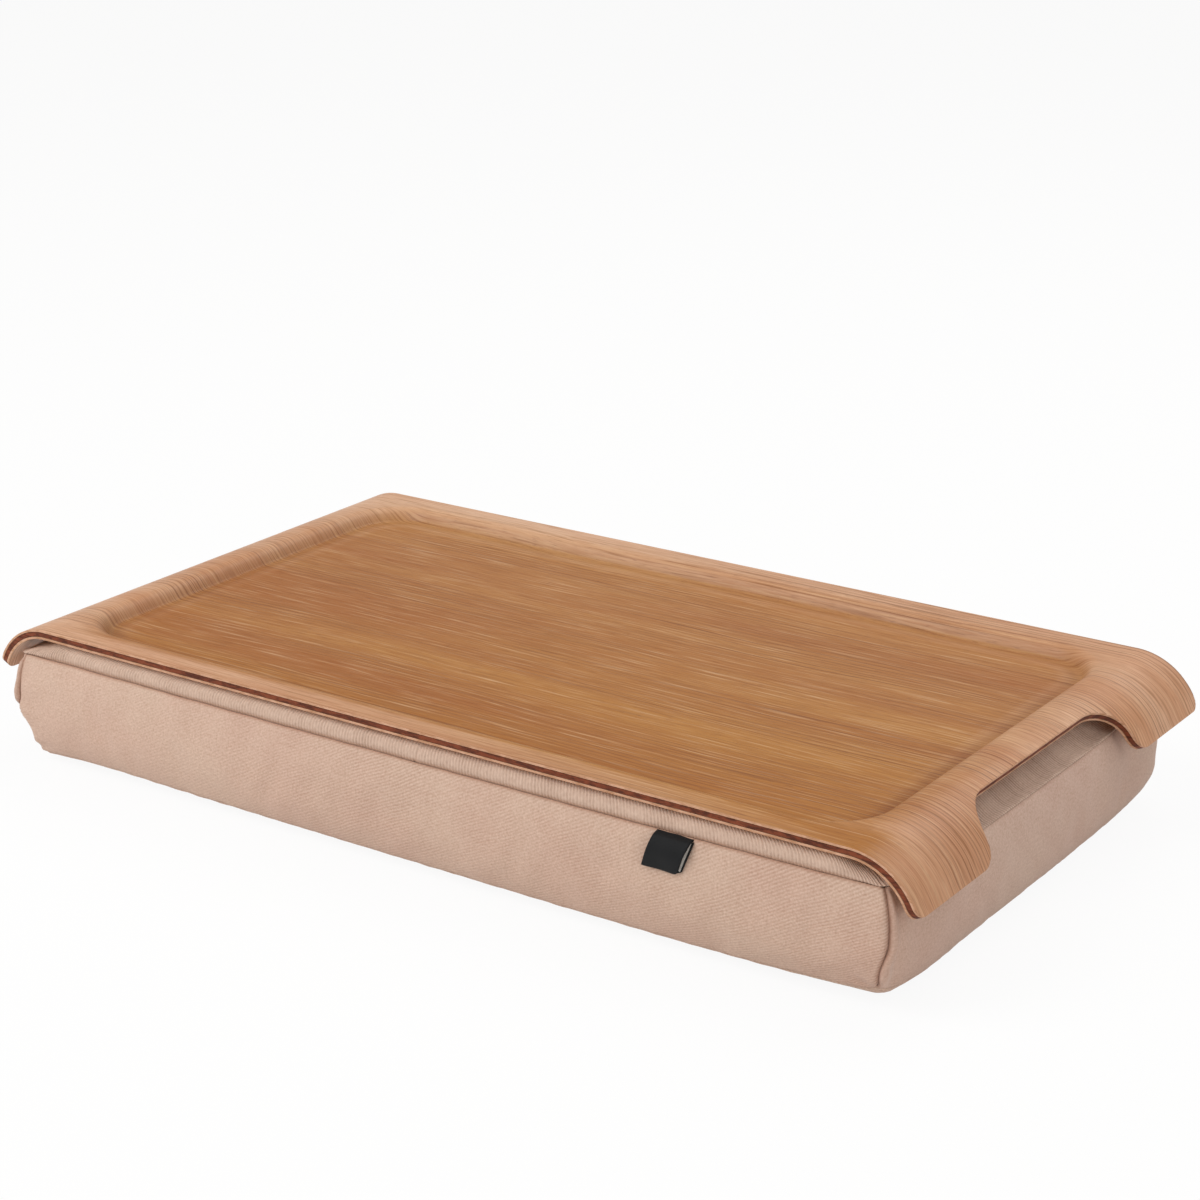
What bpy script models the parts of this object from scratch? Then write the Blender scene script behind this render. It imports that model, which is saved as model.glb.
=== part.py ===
# Lap tray: a tray of moulded plywood, held by hook-and-loop tape on a cushion filled with beads.
# Metres, +Z up. The origin is the middle of the cushion's underside, on the surface it lies on.
# +X runs along the tray to the right-hand grip, +Y from the front edge to the back edge.

import math

import bmesh
import bpy
from mathutils import Vector

# Tray: overall size, with its height measured from the underside of the cushion to the rim
tray_length = 0.430
tray_depth = 0.230
tray_height = 0.060

# Tray: the plies and the glue between them, face first
face_ply = 0.0008
core_ply = 0.0020
back_ply = 0.0008
glue_line = 0.0002

# Tray: both ends roll down over this inner radius, through this angle, to a short straight tip
flange_inner_radius = 0.024
flange_angle = math.radians(63)
flange_tip = 0.005
tray_corner = 0.005

# Tray: the recess is pressed into the flat middle, with a sloping wall all round its floor
recess_depth = 0.0055
front_rim = 0.0185
end_rim = 0.0365
recess_corner = 0.020
crease_radius = 0.0025
inner_shoulder = 0.002
wall_slope = math.radians(52)

# Tray: the hand grip cut into each rolled end, measured on the flat sheet
grip_mouth = 0.1214
grip_top = 0.113
grip_reach = 0.0242
grip_corner = 0.0189
leg_corner = 0.0085

# Cushion: its belly stands a little proud of the tray's long edges and stays inside the rolled ends.
# From there it draws in to both seams, and the seams climb a little towards the corners
front_proud = 0.0016
end_setback = 0.0094
cushion_corner = 0.004
side_crown = 0.001
top_seam_drop = 0.0125
top_draw_front = 0.0026
top_draw_end = 0.0037
top_corner_rise = 0.0008
base_seam_height = 0.0045
base_draw_in = 0.006
base_corner_rise = 0.004
base_round_front = 0.0214
base_round_end = 0.0123
base_turn = math.radians(60)
front_roll = 0.0055
end_roll = 0.0109

# Cushion: cloths, and the slit that the beads were poured in through
cover_cloth = 0.0012
bag_cloth = 0.0006
bag_slit_length = 0.070
bag_slit_height = 0.001

# Hook-and-loop tape, in four pairs
tape_length = 0.110
tape_width = 0.025
tape_thickness = 0.0008
tape_corner = 0.003
tape_inset_x = 0.0285
tape_inset_y = 0.024

# Woven label: a short ribbon folded in two and sewn into the front seam
label_width = 0.0155
label_drop = 0.0138
label_lean = 0.0044
label_ribbon = 0.0004
label_loop = 0.0010
label_place_x = 0.1191

# Clearances
fit = 0.0003
seam_gap = 0.0004
cushion_clearance = 0.0006

# Shares
base_shares = (0.0, 0.35, 0.7, 1.0)
side_shares = (0.0, 0.12, 0.28, 0.5, 0.75, 1.0)
belly_share = 0.62
roll_shares = (0.0, 0.25, 0.5, 0.75, 1.0)
bag_side_shares = (0.28, 0.75)
bag_roll_shares = (0.5, 1.0)
bend_shares = (0.17, 0.34, 0.5, 0.67, 0.84)
front_line_shares = (-1.0, -0.75, -0.5, -0.25, 0.0, 0.25, 0.5, 0.75, 1.0)
end_line_shares = (-1.0, -0.66, -0.33, 0.0, 0.33, 0.66, 1.0)
bag_line_shares = (-1.0, 0.0, 1.0)
slit_level_share = 0.5
probe_share = 0.01
corner_steps = 6
fold_steps = 8
corner_power = 6

# Worked out from the sizes above
sheet = face_ply + core_ply + back_ply + 2 * glue_line
flange_radius = flange_inner_radius + sheet
shoulder_radius = inner_shoulder + sheet
flat_half = tray_length / 2 - flange_radius * math.sin(flange_angle) - flange_tip * math.cos(flange_angle)
bend_length = flange_radius * flange_angle
sheet_half = flat_half + bend_length + flange_tip
recess_half_x = tray_length / 2 - end_rim
recess_half_y = tray_depth / 2 - front_rim
belly_half_x = tray_length / 2 - end_setback
belly_half_y = tray_depth / 2 + front_proud
top_seam_height = tray_height - top_seam_drop
tape_stack = 2 * tape_thickness + 3 * fit
dish_depth = recess_depth + tape_stack - cushion_clearance
dish_floor = tray_height - sheet - cushion_clearance - dish_depth


def mix(first, last, share):
    return first + (last - first) * share


# The shape of the moulded sheet

def wall_turn(depth):
    # The wall's slope, which is less where the two fillets alone take up the depth
    fillets = crease_radius + shoulder_radius
    return min(wall_slope, math.acos(max(1 - depth / fillets, 0)))


def wall_run(depth):
    turn = wall_turn(depth)
    fillets = crease_radius + shoulder_radius
    straight_rise = depth - fillets * (1 - math.cos(turn))
    return fillets * math.sin(turn) + straight_rise / math.tan(turn)


def wall_rise(outside, layer, depth):
    # Height above the recess floor at a distance outside the floor's outline, for the surface
    # that lies this far below the tray's face
    turn = wall_turn(depth)
    run = wall_run(depth)
    crease = crease_radius + layer
    shoulder = shoulder_radius - layer
    if outside <= 0:
        return 0
    if outside < crease * math.sin(turn):
        return crease - math.sqrt(crease ** 2 - outside ** 2)
    if outside < run - shoulder * math.sin(turn):
        return crease * (1 - math.cos(turn)) + (outside - crease * math.sin(turn)) * math.tan(turn)
    if outside < run:
        return depth - shoulder + math.sqrt(shoulder ** 2 - (run - outside) ** 2)
    return depth


def outside_recess(x, y):
    # Distance outside the rounded outline of the recess floor
    over_x = max(abs(x) - recess_half_x + recess_corner, 0)
    over_y = max(abs(y) - recess_half_y + recess_corner, 0)
    return math.hypot(over_x, over_y) - recess_corner


def end_fall(x, layer):
    # How far the rolled end has dropped at x, for the surface this far below the face
    reach = abs(x) - flat_half
    radius = flange_radius - layer
    arc_reach = radius * math.sin(flange_angle)
    if reach <= 0:
        return 0
    if reach < arc_reach:
        return radius - math.sqrt(radius ** 2 - reach ** 2)
    return radius * (1 - math.cos(flange_angle)) + (reach - arc_reach) * math.tan(flange_angle)


def face_point(along, y):
    # A point of the flat sheet's face, after pressing. Along is measured on the sheet from its middle
    reach = abs(along) - flat_half
    x, fall = abs(along), 0
    if reach > 0:
        angle = min(reach, bend_length) / flange_radius
        tip = max(reach - bend_length, 0)
        x = flat_half + flange_radius * math.sin(angle) + tip * math.cos(flange_angle)
        fall = flange_radius * (1 - math.cos(angle)) + tip * math.sin(flange_angle)
    rise = wall_rise(outside_recess(x, y), 0, recess_depth)
    return Vector((math.copysign(x, along), y, tray_height - recess_depth + rise - fall))


def sheet_point(along, y, layer):
    # The same point on a surface that lies this far below the face, square to it
    probe = sheet * probe_share
    lengthwise = face_point(along + probe, y) - face_point(along - probe, y)
    crosswise = face_point(along, y + probe) - face_point(along, y - probe)
    return face_point(along, y) - layer * lengthwise.cross(crosswise).normalized()


def cushion_top(x, y):
    # The top of the cushion follows the tray's underside, with room for the tape under the recess
    layer = sheet + cushion_clearance
    rise = wall_rise(outside_recess(x, y), layer, dish_depth)
    return dish_floor + rise - end_fall(x, layer)


# Scene, materials and objects

def clear_scene():
    for item in list(bpy.data.objects):
        bpy.data.objects.remove(item, do_unlink=True)


def new_collection(name):
    group = bpy.data.collections.new(name)
    bpy.context.scene.collection.children.link(group)
    return group


def new_material(name, colour, roughness):
    look = bpy.data.materials.new(name)
    look.use_nodes = True
    shader = look.node_tree.nodes["Principled BSDF"]
    shader.inputs["Base Color"].default_value = (*colour, 1)
    shader.inputs["Roughness"].default_value = roughness
    shader.inputs["Metallic"].default_value = 0
    return look


def new_object(name, data, group):
    item = bpy.data.objects.new(name, data)
    group.objects.link(item)
    return item


def mesh_object(name, bm, group):
    bmesh.ops.recalc_face_normals(bm, faces=bm.faces[:])
    mesh = bpy.data.meshes.new(name)
    bm.to_mesh(mesh)
    bm.free()
    return new_object(name, mesh, group)


def finish(item, parent, colour, roughness):
    item.data.materials.append(new_material(item.name, colour, roughness))
    item.parent = parent
    if item.type == "MESH":
        item.data.shade_smooth()
        item.data.set_sharp_from_angle(angle=math.radians(40))
    return item


# Flat outlines

def rounded_outline(corners, radii):
    # The corners of a closed outline, each replaced by an arc of its own radius
    points = []
    for index, corner in enumerate(corners):
        here = Vector(corner)
        back = (Vector(corners[index - 1]) - here).normalized()
        ahead = (Vector(corners[(index + 1) % len(corners)]) - here).normalized()
        half = math.acos(max(min(back.dot(ahead), 1), -1)) / 2
        middle = here + (back + ahead).normalized() * radii[index] / math.sin(half)
        first = (here + back * radii[index] / math.tan(half) - middle).normalized()
        last = (here + ahead * radii[index] / math.tan(half) - middle).normalized()
        for step in range(corner_steps + 1):
            spoke = first.slerp(last, step / corner_steps)
            points.append(middle + spoke * radii[index])
    return points


def rectangle(half_x, half_y, corner):
    corners = [(-half_x, -half_y), (half_x, -half_y), (half_x, half_y), (-half_x, half_y)]
    return rounded_outline(corners, [corner] * 4)


def flat_piece(name, points, thickness, group):
    # A flat outline as a filled curve, as thick as the piece and centred on its own middle plane
    curve = bpy.data.curves.new(name, "CURVE")
    curve.dimensions = "2D"
    curve.fill_mode = "BOTH"
    curve.extrude = thickness / 2
    spline = curve.splines.new("POLY")
    spline.points.add(len(points) - 1)
    for slot, point in zip(spline.points, points):
        slot.co = (point.x, point.y, 0, 1)
    spline.use_cyclic_u = True
    return new_object(name, curve, group)


# The tray's plies

def tray_outline():
    # The trimmed sheet, laid flat: four rounded corners and a hand grip in each end
    mouth, top = grip_mouth / 2, grip_top / 2
    deep = sheet_half - grip_reach
    half = tray_depth / 2
    right = [(sheet_half, -half), (sheet_half, -mouth), (deep, -top),
             (deep, top), (sheet_half, mouth), (sheet_half, half)]
    left = [(-x, -y) for x, y in right]
    radii = [tray_corner, leg_corner, grip_corner, grip_corner, leg_corner, tray_corner]
    return rounded_outline(right + left, radii + radii)


def add_loop(bm, points):
    verts = [bm.verts.new((point.x, point.y, 0)) for point in points]
    return [bm.edges.new((verts[index - 1], vert)) for index, vert in enumerate(verts)]


def flat_blank():
    # The trimmed sheet with rings round the recess where its wall bends, and lines across each end
    run, turn = wall_run(recess_depth), wall_turn(recess_depth)
    crease, shoulder = crease_radius * math.sin(turn), shoulder_radius * math.sin(turn)
    bm = bmesh.new()
    rings = []
    for out in (0, crease / 2, crease, run - shoulder, run - shoulder / 2, run):
        points = rectangle(recess_half_x + out, recess_half_y + out, recess_corner + out)
        rings.append(add_loop(bm, points))
    for inner, outer in zip(rings, rings[1:]):
        bmesh.ops.bridge_loops(bm, edges=inner + outer)
    bmesh.ops.holes_fill(bm, edges=rings[0])
    outline = add_loop(bm, tray_outline())
    bmesh.ops.triangle_fill(bm, edges=rings[-1] + outline, use_beauty=True)
    wall_end = recess_half_x + run
    lines = [flat_half, wall_end] + [mix(wall_end, sheet_half, share) for share in bend_shares]
    for line in lines:
        for place in (-line, line):
            bmesh.ops.bisect_plane(bm, geom=bm.verts[:] + bm.edges[:] + bm.faces[:],
                                   plane_co=(place, 0, 0), plane_no=(1, 0, 0))
    bmesh.ops.triangulate(bm, faces=bm.faces[:])
    return bm


def ply(name, blank, top, bottom, group):
    # One ply: the blank made as thick as the ply, then pressed between two depths below the face
    bm = blank.copy()
    for vert in bm.verts:
        vert.co.z = top
    copied = bmesh.ops.extrude_face_region(bm, geom=bm.faces[:], use_keep_orig=True)
    for item in copied["geom"]:
        if isinstance(item, bmesh.types.BMVert):
            item.co.z = bottom
    for vert in bm.verts:
        vert.co = sheet_point(vert.co.x, vert.co.y, vert.co.z)
    bmesh.ops.triangulate(bm, faces=bm.faces[:])
    return mesh_object(name, bm, group)


# The cushion's rings. A ring is a rounded rectangle round the cushion: its half sizes and corner,
# its height and how much higher its corners are, how much of the way it has risen to the cushion's
# top, and which way its skin faces

def under_lean(share):
    # How far the side's skin faces downwards, from the slope of its draw below the belly
    low = max(1 - share / belly_share, 0)
    drop = belly_share * (top_seam_height - base_seam_height)
    return math.atan(3 * base_draw_in * low ** 2 / drop)


def base_ring(share):
    angle = share * base_turn
    inward = 1 - math.sin(angle) / math.sin(base_turn)
    climb = (1 - math.cos(angle)) / (1 - math.cos(base_turn))
    lean = mix(math.pi / 2, under_lean(0), share)
    return dict(half_x=belly_half_x - base_draw_in - base_round_end * inward,
                half_y=belly_half_y - base_draw_in - base_round_front * inward,
                corner=cushion_corner, crown=side_crown * share, height=base_seam_height * climb,
                rise=base_corner_rise * climb, lift=0, out=math.cos(lean), up=-math.sin(lean))


def side_ring(share):
    low = max(1 - share / belly_share, 0)
    high = max(share - belly_share, 0) / (1 - belly_share)
    draw, lean = base_draw_in * low ** 3, under_lean(share)
    return dict(half_x=belly_half_x - draw - top_draw_end * high ** 2,
                half_y=belly_half_y - draw - top_draw_front * high ** 2,
                corner=cushion_corner, crown=side_crown,
                height=mix(base_seam_height, top_seam_height, share),
                rise=mix(base_corner_rise, top_corner_rise, share), lift=0,
                out=math.cos(lean), up=-math.sin(lean))


def roll_ring(share):
    angle = share * math.pi / 2
    toward = 1 - math.cos(angle)
    return dict(half_x=belly_half_x - top_draw_end - end_roll * toward,
                half_y=belly_half_y - top_draw_front - front_roll * toward,
                corner=cushion_corner, crown=side_crown * math.cos(angle), height=top_seam_height,
                rise=top_corner_rise, lift=math.sin(angle), out=math.cos(angle), up=math.sin(angle))


def dish_ring(outside):
    # A ring at an even distance outside the recess floor's outline
    return dict(half_x=recess_half_x + outside, half_y=recess_half_y + outside,
                corner=recess_corner + outside, crown=0, height=top_seam_height, rise=0, lift=1, out=0, up=1)


def dish_rings(innermost):
    run, turn = wall_run(dish_depth), wall_turn(dish_depth)
    layer = sheet + cushion_clearance
    crease = (crease_radius + layer) * math.sin(turn)
    shoulder = (shoulder_radius - layer) * math.sin(turn)
    return [dish_ring(outside) for outside in (run, run - shoulder, crease, crease / 2, innermost)]


def side_steps(lines, seam_trim):
    # The way along one side, from the middle of one corner to the middle of the next
    turn = math.pi / 4
    steps = [("arc", seam_trim - turn), ("arc", -turn / 2)]
    steps += [("line", share) for share in lines]
    return steps + [("arc", turn / 2), ("arc", turn - seam_trim)]


def turned(side, along, out):
    return [(along, -out), (out, along), (-along, out), (-out, -along)][side]


def ring_point(ring, side, step, depth):
    # A point on a ring. Side 0 is the front, and the others follow it anticlockwise
    kind, value = step
    half_along, half_out = ring["half_x"], ring["half_y"]
    if side % 2:
        half_along, half_out = half_out, half_along
    corner = ring["corner"]
    straight = half_along - corner
    if kind == "line":
        along = value * straight
        out = half_out + ring["crown"] * (1 - value ** 2)
        slant, walked = 0, abs(along)
    else:
        along = math.copysign(straight, value) + corner * math.sin(value)
        out = half_out - corner + corner * math.cos(value)
        slant, walked = value, straight + corner * abs(value)
    nearness = (walked / (straight + corner * math.pi / 4)) ** corner_power
    height = ring["height"] + ring["rise"] * nearness
    top = cushion_top(*turned(side, along, out))
    inward = depth * ring["out"]
    x, y = turned(side, along - inward * math.sin(slant), out - inward * math.cos(slant))
    return Vector((x, y, mix(height, top, ring["lift"]) - depth * ring["up"]))


def skin(rings, route, closed):
    # A grid bent over the rings: columns follow the route round the cushion, rows follow the rings.
    # Each vertex remembers its column and row
    columns = len(route) - (0 if closed else 1)
    rows = len(rings) - 1
    bm = bmesh.new()
    bmesh.ops.create_grid(bm, x_segments=columns, y_segments=rows, size=1)
    column_of = bm.verts.layers.int.new("column")
    row_of = bm.verts.layers.int.new("row")
    for vert in bm.verts:
        vert[column_of] = round((vert.co.x + 1) / 2 * columns) % len(route)
        vert[row_of] = round((vert.co.y + 1) / 2 * rows)
        vert.co = ring_point(rings[vert[row_of]], *route[vert[column_of]], 0)
    if closed:
        bmesh.ops.remove_doubles(bm, verts=bm.verts, dist=fit * probe_share)
    return bm


def sink(bm, verts, rings, route, depth):
    column_of = bm.verts.layers.int["column"]
    row_of = bm.verts.layers.int["row"]
    for vert in verts:
        vert.co = ring_point(rings[vert[row_of]], *route[vert[column_of]], depth)


def cloth(name, bm, rings, route, depth, thickness, group):
    # Cloth of an even thickness, whose outer side lies this far inside the cushion's skin
    bmesh.ops.triangulate(bm, faces=bm.faces[:])
    outer = bm.verts[:]
    copied = bmesh.ops.extrude_face_region(bm, geom=bm.faces[:], use_keep_orig=True)
    inner = [item for item in copied["geom"] if isinstance(item, bmesh.types.BMVert)]
    sink(bm, outer, rings, route, depth)
    sink(bm, inner, rings, route, depth + thickness)
    return mesh_object(name, bm, group)


def loop_route(front_lines, end_lines):
    route = []
    for side in range(4):
        steps = side_steps(end_lines if side % 2 else front_lines, 0)
        route += [(side, step) for step in steps[:-1]]
    return route


def cap(bm, row):
    # A flat face across the ring of one row
    row_of = bm.verts.layers.int["row"]
    edges = [edge for edge in bm.edges if all(vert[row_of] == row for vert in edge.verts)]
    bmesh.ops.holes_fill(bm, edges=edges)


def trimmed(shares, run):
    # The same shares, with half a seam's gap taken off each end of the run
    trim = seam_gap / 2 / run
    return [trim] + list(shares[1:-1]) + [1 - trim]


def side_panel(name, side, group):
    rings = [side_ring(share) for share in trimmed(side_shares, top_seam_height - base_seam_height)]
    lines = end_line_shares if side % 2 else front_line_shares
    route = [(side, step) for step in side_steps(lines, seam_gap / 2 / cushion_corner)]
    return cloth(name, skin(rings, route, False), rings, route, 0, cover_cloth, group)


def rib_band(group):
    # The ribbed strip that turns from the side panels over the top edge and down into the dish
    rise = tray_height - sheet - cushion_clearance - top_seam_height
    roll = trimmed(roll_shares, rise)[:-1] + [1]
    rings = [roll_ring(share) for share in roll] + dish_rings(seam_gap / 2)
    route = loop_route(front_line_shares, end_line_shares)
    return cloth("rib_band", skin(rings, route, True), rings, route, 0, cover_cloth, group)


def base_panel(group):
    rings = [base_ring(share) for share in base_shares[:-1]]
    rings.append(base_ring(1 - seam_gap / 2 / base_seam_height))
    route = loop_route(front_line_shares, end_line_shares)
    bm = skin(rings, route, True)
    cap(bm, 0)
    return cloth("base_panel", bm, rings, route, 0, cover_cloth, group)


def top_panel(group):
    # The flat cloth at the bottom of the dish, which carries the loop tape
    trim = seam_gap / 2
    outline = rectangle(recess_half_x - trim, recess_half_y - trim, recess_corner - trim)
    panel = flat_piece("top_panel", outline, cover_cloth, group)
    panel.location.z = dish_floor - cover_cloth / 2
    return panel


def inner_layout():
    # Rings from the base to the bottom of the dish, with a row and columns for the bag's slit
    half_slit = bag_slit_height / 2 / (top_seam_height - base_seam_height)
    half_length = bag_slit_length / 2 / (belly_half_x - cushion_corner)
    low, high = bag_side_shares
    rings = [base_ring(share) for share in base_shares]
    rings += [side_ring(share) for share in (low, slit_level_share - half_slit,
                                             slit_level_share + half_slit, high)]
    rings += [roll_ring(share) for share in bag_roll_shares] + dish_rings(0)
    return rings, loop_route((-1.0, -half_length, half_length, 1.0), bag_line_shares)


def inner_bag(group):
    # The bag that holds the beads, with its slit left open in the middle of the back
    rings, route = inner_layout()
    bm = skin(rings, route, True)
    slit_height = mix(base_seam_height, top_seam_height, slit_level_share)
    slit_middle = Vector((0, belly_half_y, slit_height))
    slit = min(bm.faces, key=lambda face: (face.calc_center_median() - slit_middle).length)
    bmesh.ops.delete(bm, geom=[slit], context="FACES")
    cap(bm, 0)
    cap(bm, len(rings) - 1)
    return cloth("inner_bag", bm, rings, route, cover_cloth + fit, bag_cloth, group)


def bead_fill(group):
    # The beads, as one body the shape of the inside of the bag
    rings, route = inner_layout()
    bm = skin(rings, route, True)
    cap(bm, 0)
    cap(bm, len(rings) - 1)
    bmesh.ops.triangulate(bm, faces=bm.faces[:])
    sink(bm, bm.verts, rings, route, cover_cloth + bag_cloth + 2 * fit)
    return mesh_object("bead_fill", bm, group)


# Tape and label

def tape(name, side_x, side_y, middle_height, group):
    outline = rectangle(tape_length / 2, tape_width / 2, tape_corner)
    strip = flat_piece(name, outline, tape_thickness, group)
    away_x = recess_half_x - tape_inset_x - tape_length / 2
    away_y = recess_half_y - tape_inset_y - tape_width / 2
    strip.location = (side_x * away_x, side_y * away_y, middle_height)
    return strip


def front_out(x, height):
    # How far the front panel stands out at this place
    ring = side_ring((height - base_seam_height) / (top_seam_height - base_seam_height))
    along = x / (ring["half_x"] - ring["corner"])
    return ring["half_y"] + ring["crown"] * (1 - along ** 2)


def hairpin(thick, straight):
    # One side of the folded ribbon, seen from its end: down, round the fold and up again
    turns = [math.pi / 2 - math.pi * step / fold_steps for step in range(fold_steps + 1)]
    down = [Vector((straight * step / fold_steps, thick)) for step in range(fold_steps)]
    fold = [Vector((straight + thick * math.cos(turn), thick * math.sin(turn))) for turn in turns]
    return down + fold + [Vector((point.x, -point.y)) for point in reversed(down)]


def woven_label(group):
    # A ribbon folded in two that lies on the front panel, with its free end swung to the left
    inner = label_loop / 2
    outer = inner + label_ribbon
    bm = bmesh.new()
    chains = []
    for thick in (outer, inner):
        points = hairpin(thick, label_drop - outer)
        line = [bm.verts.new((point.x, point.y, -label_width / 2)) for point in points]
        chains += [bm.edges.new(pair) for pair in zip(line, line[1:])]
    bmesh.ops.bridge_loops(bm, edges=chains)
    made = bmesh.ops.extrude_face_region(bm, geom=bm.faces[:], use_keep_orig=True)
    far_side = [item for item in made["geom"] if isinstance(item, bmesh.types.BMVert)]
    bmesh.ops.translate(bm, verts=far_side, vec=(0, 0, label_width))
    for vert in bm.verts:
        down, thick, wide = vert.co
        x = label_place_x + wide - label_lean * down / label_drop
        height = top_seam_height - down
        vert.co = (x, thick - front_out(x, height) - fit - outer, height)
    bmesh.ops.triangulate(bm, faces=bm.faces[:])
    return mesh_object("woven_label", bm, group)


# The whole object

def build():
    clear_scene()
    parts = new_collection("lap_tray")
    cushion = new_object("cushion_frame", None, parts)
    tray = new_object("tray_frame", None, parts)

    blank = flat_blank()
    core_top = face_ply + glue_line
    back_top = core_top + core_ply + glue_line
    finish(ply("face_veneer", blank, 0, face_ply, parts), tray, (0.52, 0.29, 0.12), 0.4)
    finish(ply("core_ply", blank, core_top, core_top + core_ply, parts), tray, (0.16, 0.05, 0.03), 0.6)
    finish(ply("back_veneer", blank, back_top, sheet, parts), tray, (0.56, 0.36, 0.20), 0.5)
    blank.free()

    names = ("front_panel", "right_end_panel", "back_panel", "left_end_panel")
    for side, name in enumerate(names):
        finish(side_panel(name, side, parts), cushion, (0.62, 0.42, 0.33), 0.9)
    finish(rib_band(parts), cushion, (0.55, 0.38, 0.29), 0.9)
    finish(top_panel(parts), cushion, (0.60, 0.41, 0.32), 0.9)
    finish(base_panel(parts), cushion, (0.58, 0.40, 0.31), 0.9)
    finish(inner_bag(parts), cushion, (0.80, 0.78, 0.72), 0.9)
    finish(bead_fill(parts), cushion, (0.90, 0.90, 0.90), 0.8)
    finish(woven_label(parts), cushion, (0.012, 0.013, 0.015), 0.8)

    hook_height = tray_height - recess_depth - sheet - fit - tape_thickness / 2
    loop_height = hook_height - tape_thickness - fit
    for row, side_y in (("front", -1), ("back", 1)):
        for hand, side_x in (("left", -1), ("right", 1)):
            hook = tape(f"hook_tape_{row}_{hand}", side_x, side_y, hook_height, parts)
            finish(hook, tray, (0.03, 0.03, 0.03), 0.7)
            loop = tape(f"loop_tape_{row}_{hand}", side_x, side_y, loop_height, parts)
            finish(loop, cushion, (0.04, 0.04, 0.04), 0.95)


build()
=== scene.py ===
import math

import bmesh
import bpy
from mathutils import Euler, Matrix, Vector, noise


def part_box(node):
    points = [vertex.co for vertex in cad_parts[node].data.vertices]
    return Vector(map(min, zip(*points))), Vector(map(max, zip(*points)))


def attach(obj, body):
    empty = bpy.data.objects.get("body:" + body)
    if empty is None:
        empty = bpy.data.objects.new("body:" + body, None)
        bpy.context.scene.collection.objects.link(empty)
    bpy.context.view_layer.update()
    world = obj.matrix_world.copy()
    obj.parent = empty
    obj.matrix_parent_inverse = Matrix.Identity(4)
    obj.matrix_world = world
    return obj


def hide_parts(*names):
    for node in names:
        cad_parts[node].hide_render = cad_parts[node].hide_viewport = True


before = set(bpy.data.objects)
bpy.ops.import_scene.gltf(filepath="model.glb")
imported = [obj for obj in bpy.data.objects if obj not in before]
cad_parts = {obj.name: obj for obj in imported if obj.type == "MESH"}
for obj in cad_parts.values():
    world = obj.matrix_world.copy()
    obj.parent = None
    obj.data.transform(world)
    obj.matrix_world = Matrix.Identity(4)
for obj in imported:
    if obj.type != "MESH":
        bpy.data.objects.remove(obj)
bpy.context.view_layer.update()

# Lap tray of pressed plywood on a bead-filled cushion. Metres, +Z up, the cushion's underside at 0.
# +X is the right-hand grip and +Y the back edge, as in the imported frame.

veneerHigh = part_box("face_veneer")[1]

tray = dict(
    halfLength=veneerHigh.x, halfDepth=veneerHigh.y, rimHeight=veneerHigh.z,
    facePly=0.0009, corePly=0.0017, backPly=0.0010, glueLine=0.0002,
    bendRadius=0.028, bendAngle=math.radians(63), tip=0.005, corner=0.005,
    recessDepth=0.0055, frontRim=0.0185, endRim=0.0365, recessCorner=0.020,
    crease=0.0025, shoulder=0.006, slope=math.radians(52),
    gripMouth=0.1214, gripTop=0.113, gripReach=0.0242, gripCorner=0.0189, legCorner=0.0085,
    easedEdge=0.00022,      # the lacquered edge is just broken with paper
    lineSpacing=0.0012, cornerSteps=14, gripSteps=16, creaseSteps=5, shoulderSteps=7,
    # Four even rings inside the crease keep its painted shade from spreading over the floor
    floorRings=[-0.009, -0.0055, -0.003, -0.0013],
)

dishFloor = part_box("top_panel")[1].z

cushion = dict(
    bellyHalfLength=0.2056, bellyHalfDepth=0.1166, bellyShare=0.62, corner=0.004, crown=0.001,
    topSeam=0.0475, topDrawFront=0.0026, topDrawEnd=0.0037, topRise=0.0008,
    baseSeam=0.0045, baseDraw=0.006, baseRise=0.004, baseTurn=math.radians(60),
    baseRoundFront=0.0214, baseRoundEnd=0.0123, frontRoll=0.0055, endRoll=0.0109,
    endHollow=0.0036, clearance=0.0006, cloth=0.0010, columnSpacing=0.0014, rowSpacing=0.0014,
    ribPitch=0.00145, ribHeight=0.00024, ribShape=4,
    pastDish=(0.1795, 0.012),      # where the dish gives way to the rolled end, and over how far
)

# From the face of the sheet down to the cloth under it, and from there to the bottom of the dish
sheetAbove = tray["facePly"] + tray["corePly"] + tray["backPly"] + 2 * tray["glueLine"] + cushion["clearance"]
dishDepth = tray["rimHeight"] - sheetAbove - dishFloor


def linearColour(code):
    channels = [int(code[place:place + 2], 16) / 255 for place in (1, 3, 5)]
    return [c / 12.92 if c <= 0.04045 else ((c + 0.055) / 1.055) ** 2.4 for c in channels] + [1]


def mix(first, last, share):
    return first + (last - first) * share


def smooth(value):
    value = min(max(value, 0), 1)
    return value * value * (3 - 2 * value)


def fade(value, start, width):
    return smooth((value - start) / width)


def hump(value, middle, width):
    return math.exp(-((value - middle) / width) ** 2)


def ripple(first, second, seed):
    return 2 * noise.noise(Vector((first, second, seed)))


def addNode(tree, kind, settings, output=0):
    # A setting is a value, a colour's hex code, a ramp's stops or the output of another node
    node = tree.nodes.new(kind)
    for name, value in settings.items():
        if name == "stops":
            for element, (place, code) in zip(node.color_ramp.elements, value):
                element.position, element.color = place, linearColour(code)
        elif isinstance(name, str) and hasattr(node, name):
            setattr(node, name, value)
        elif isinstance(value, bpy.types.NodeSocket):
            tree.links.new(value, node.inputs[name])
        else:
            node.inputs[name].default_value = linearColour(value) if isinstance(value, str) else value
    return node.outputs[output]


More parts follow.
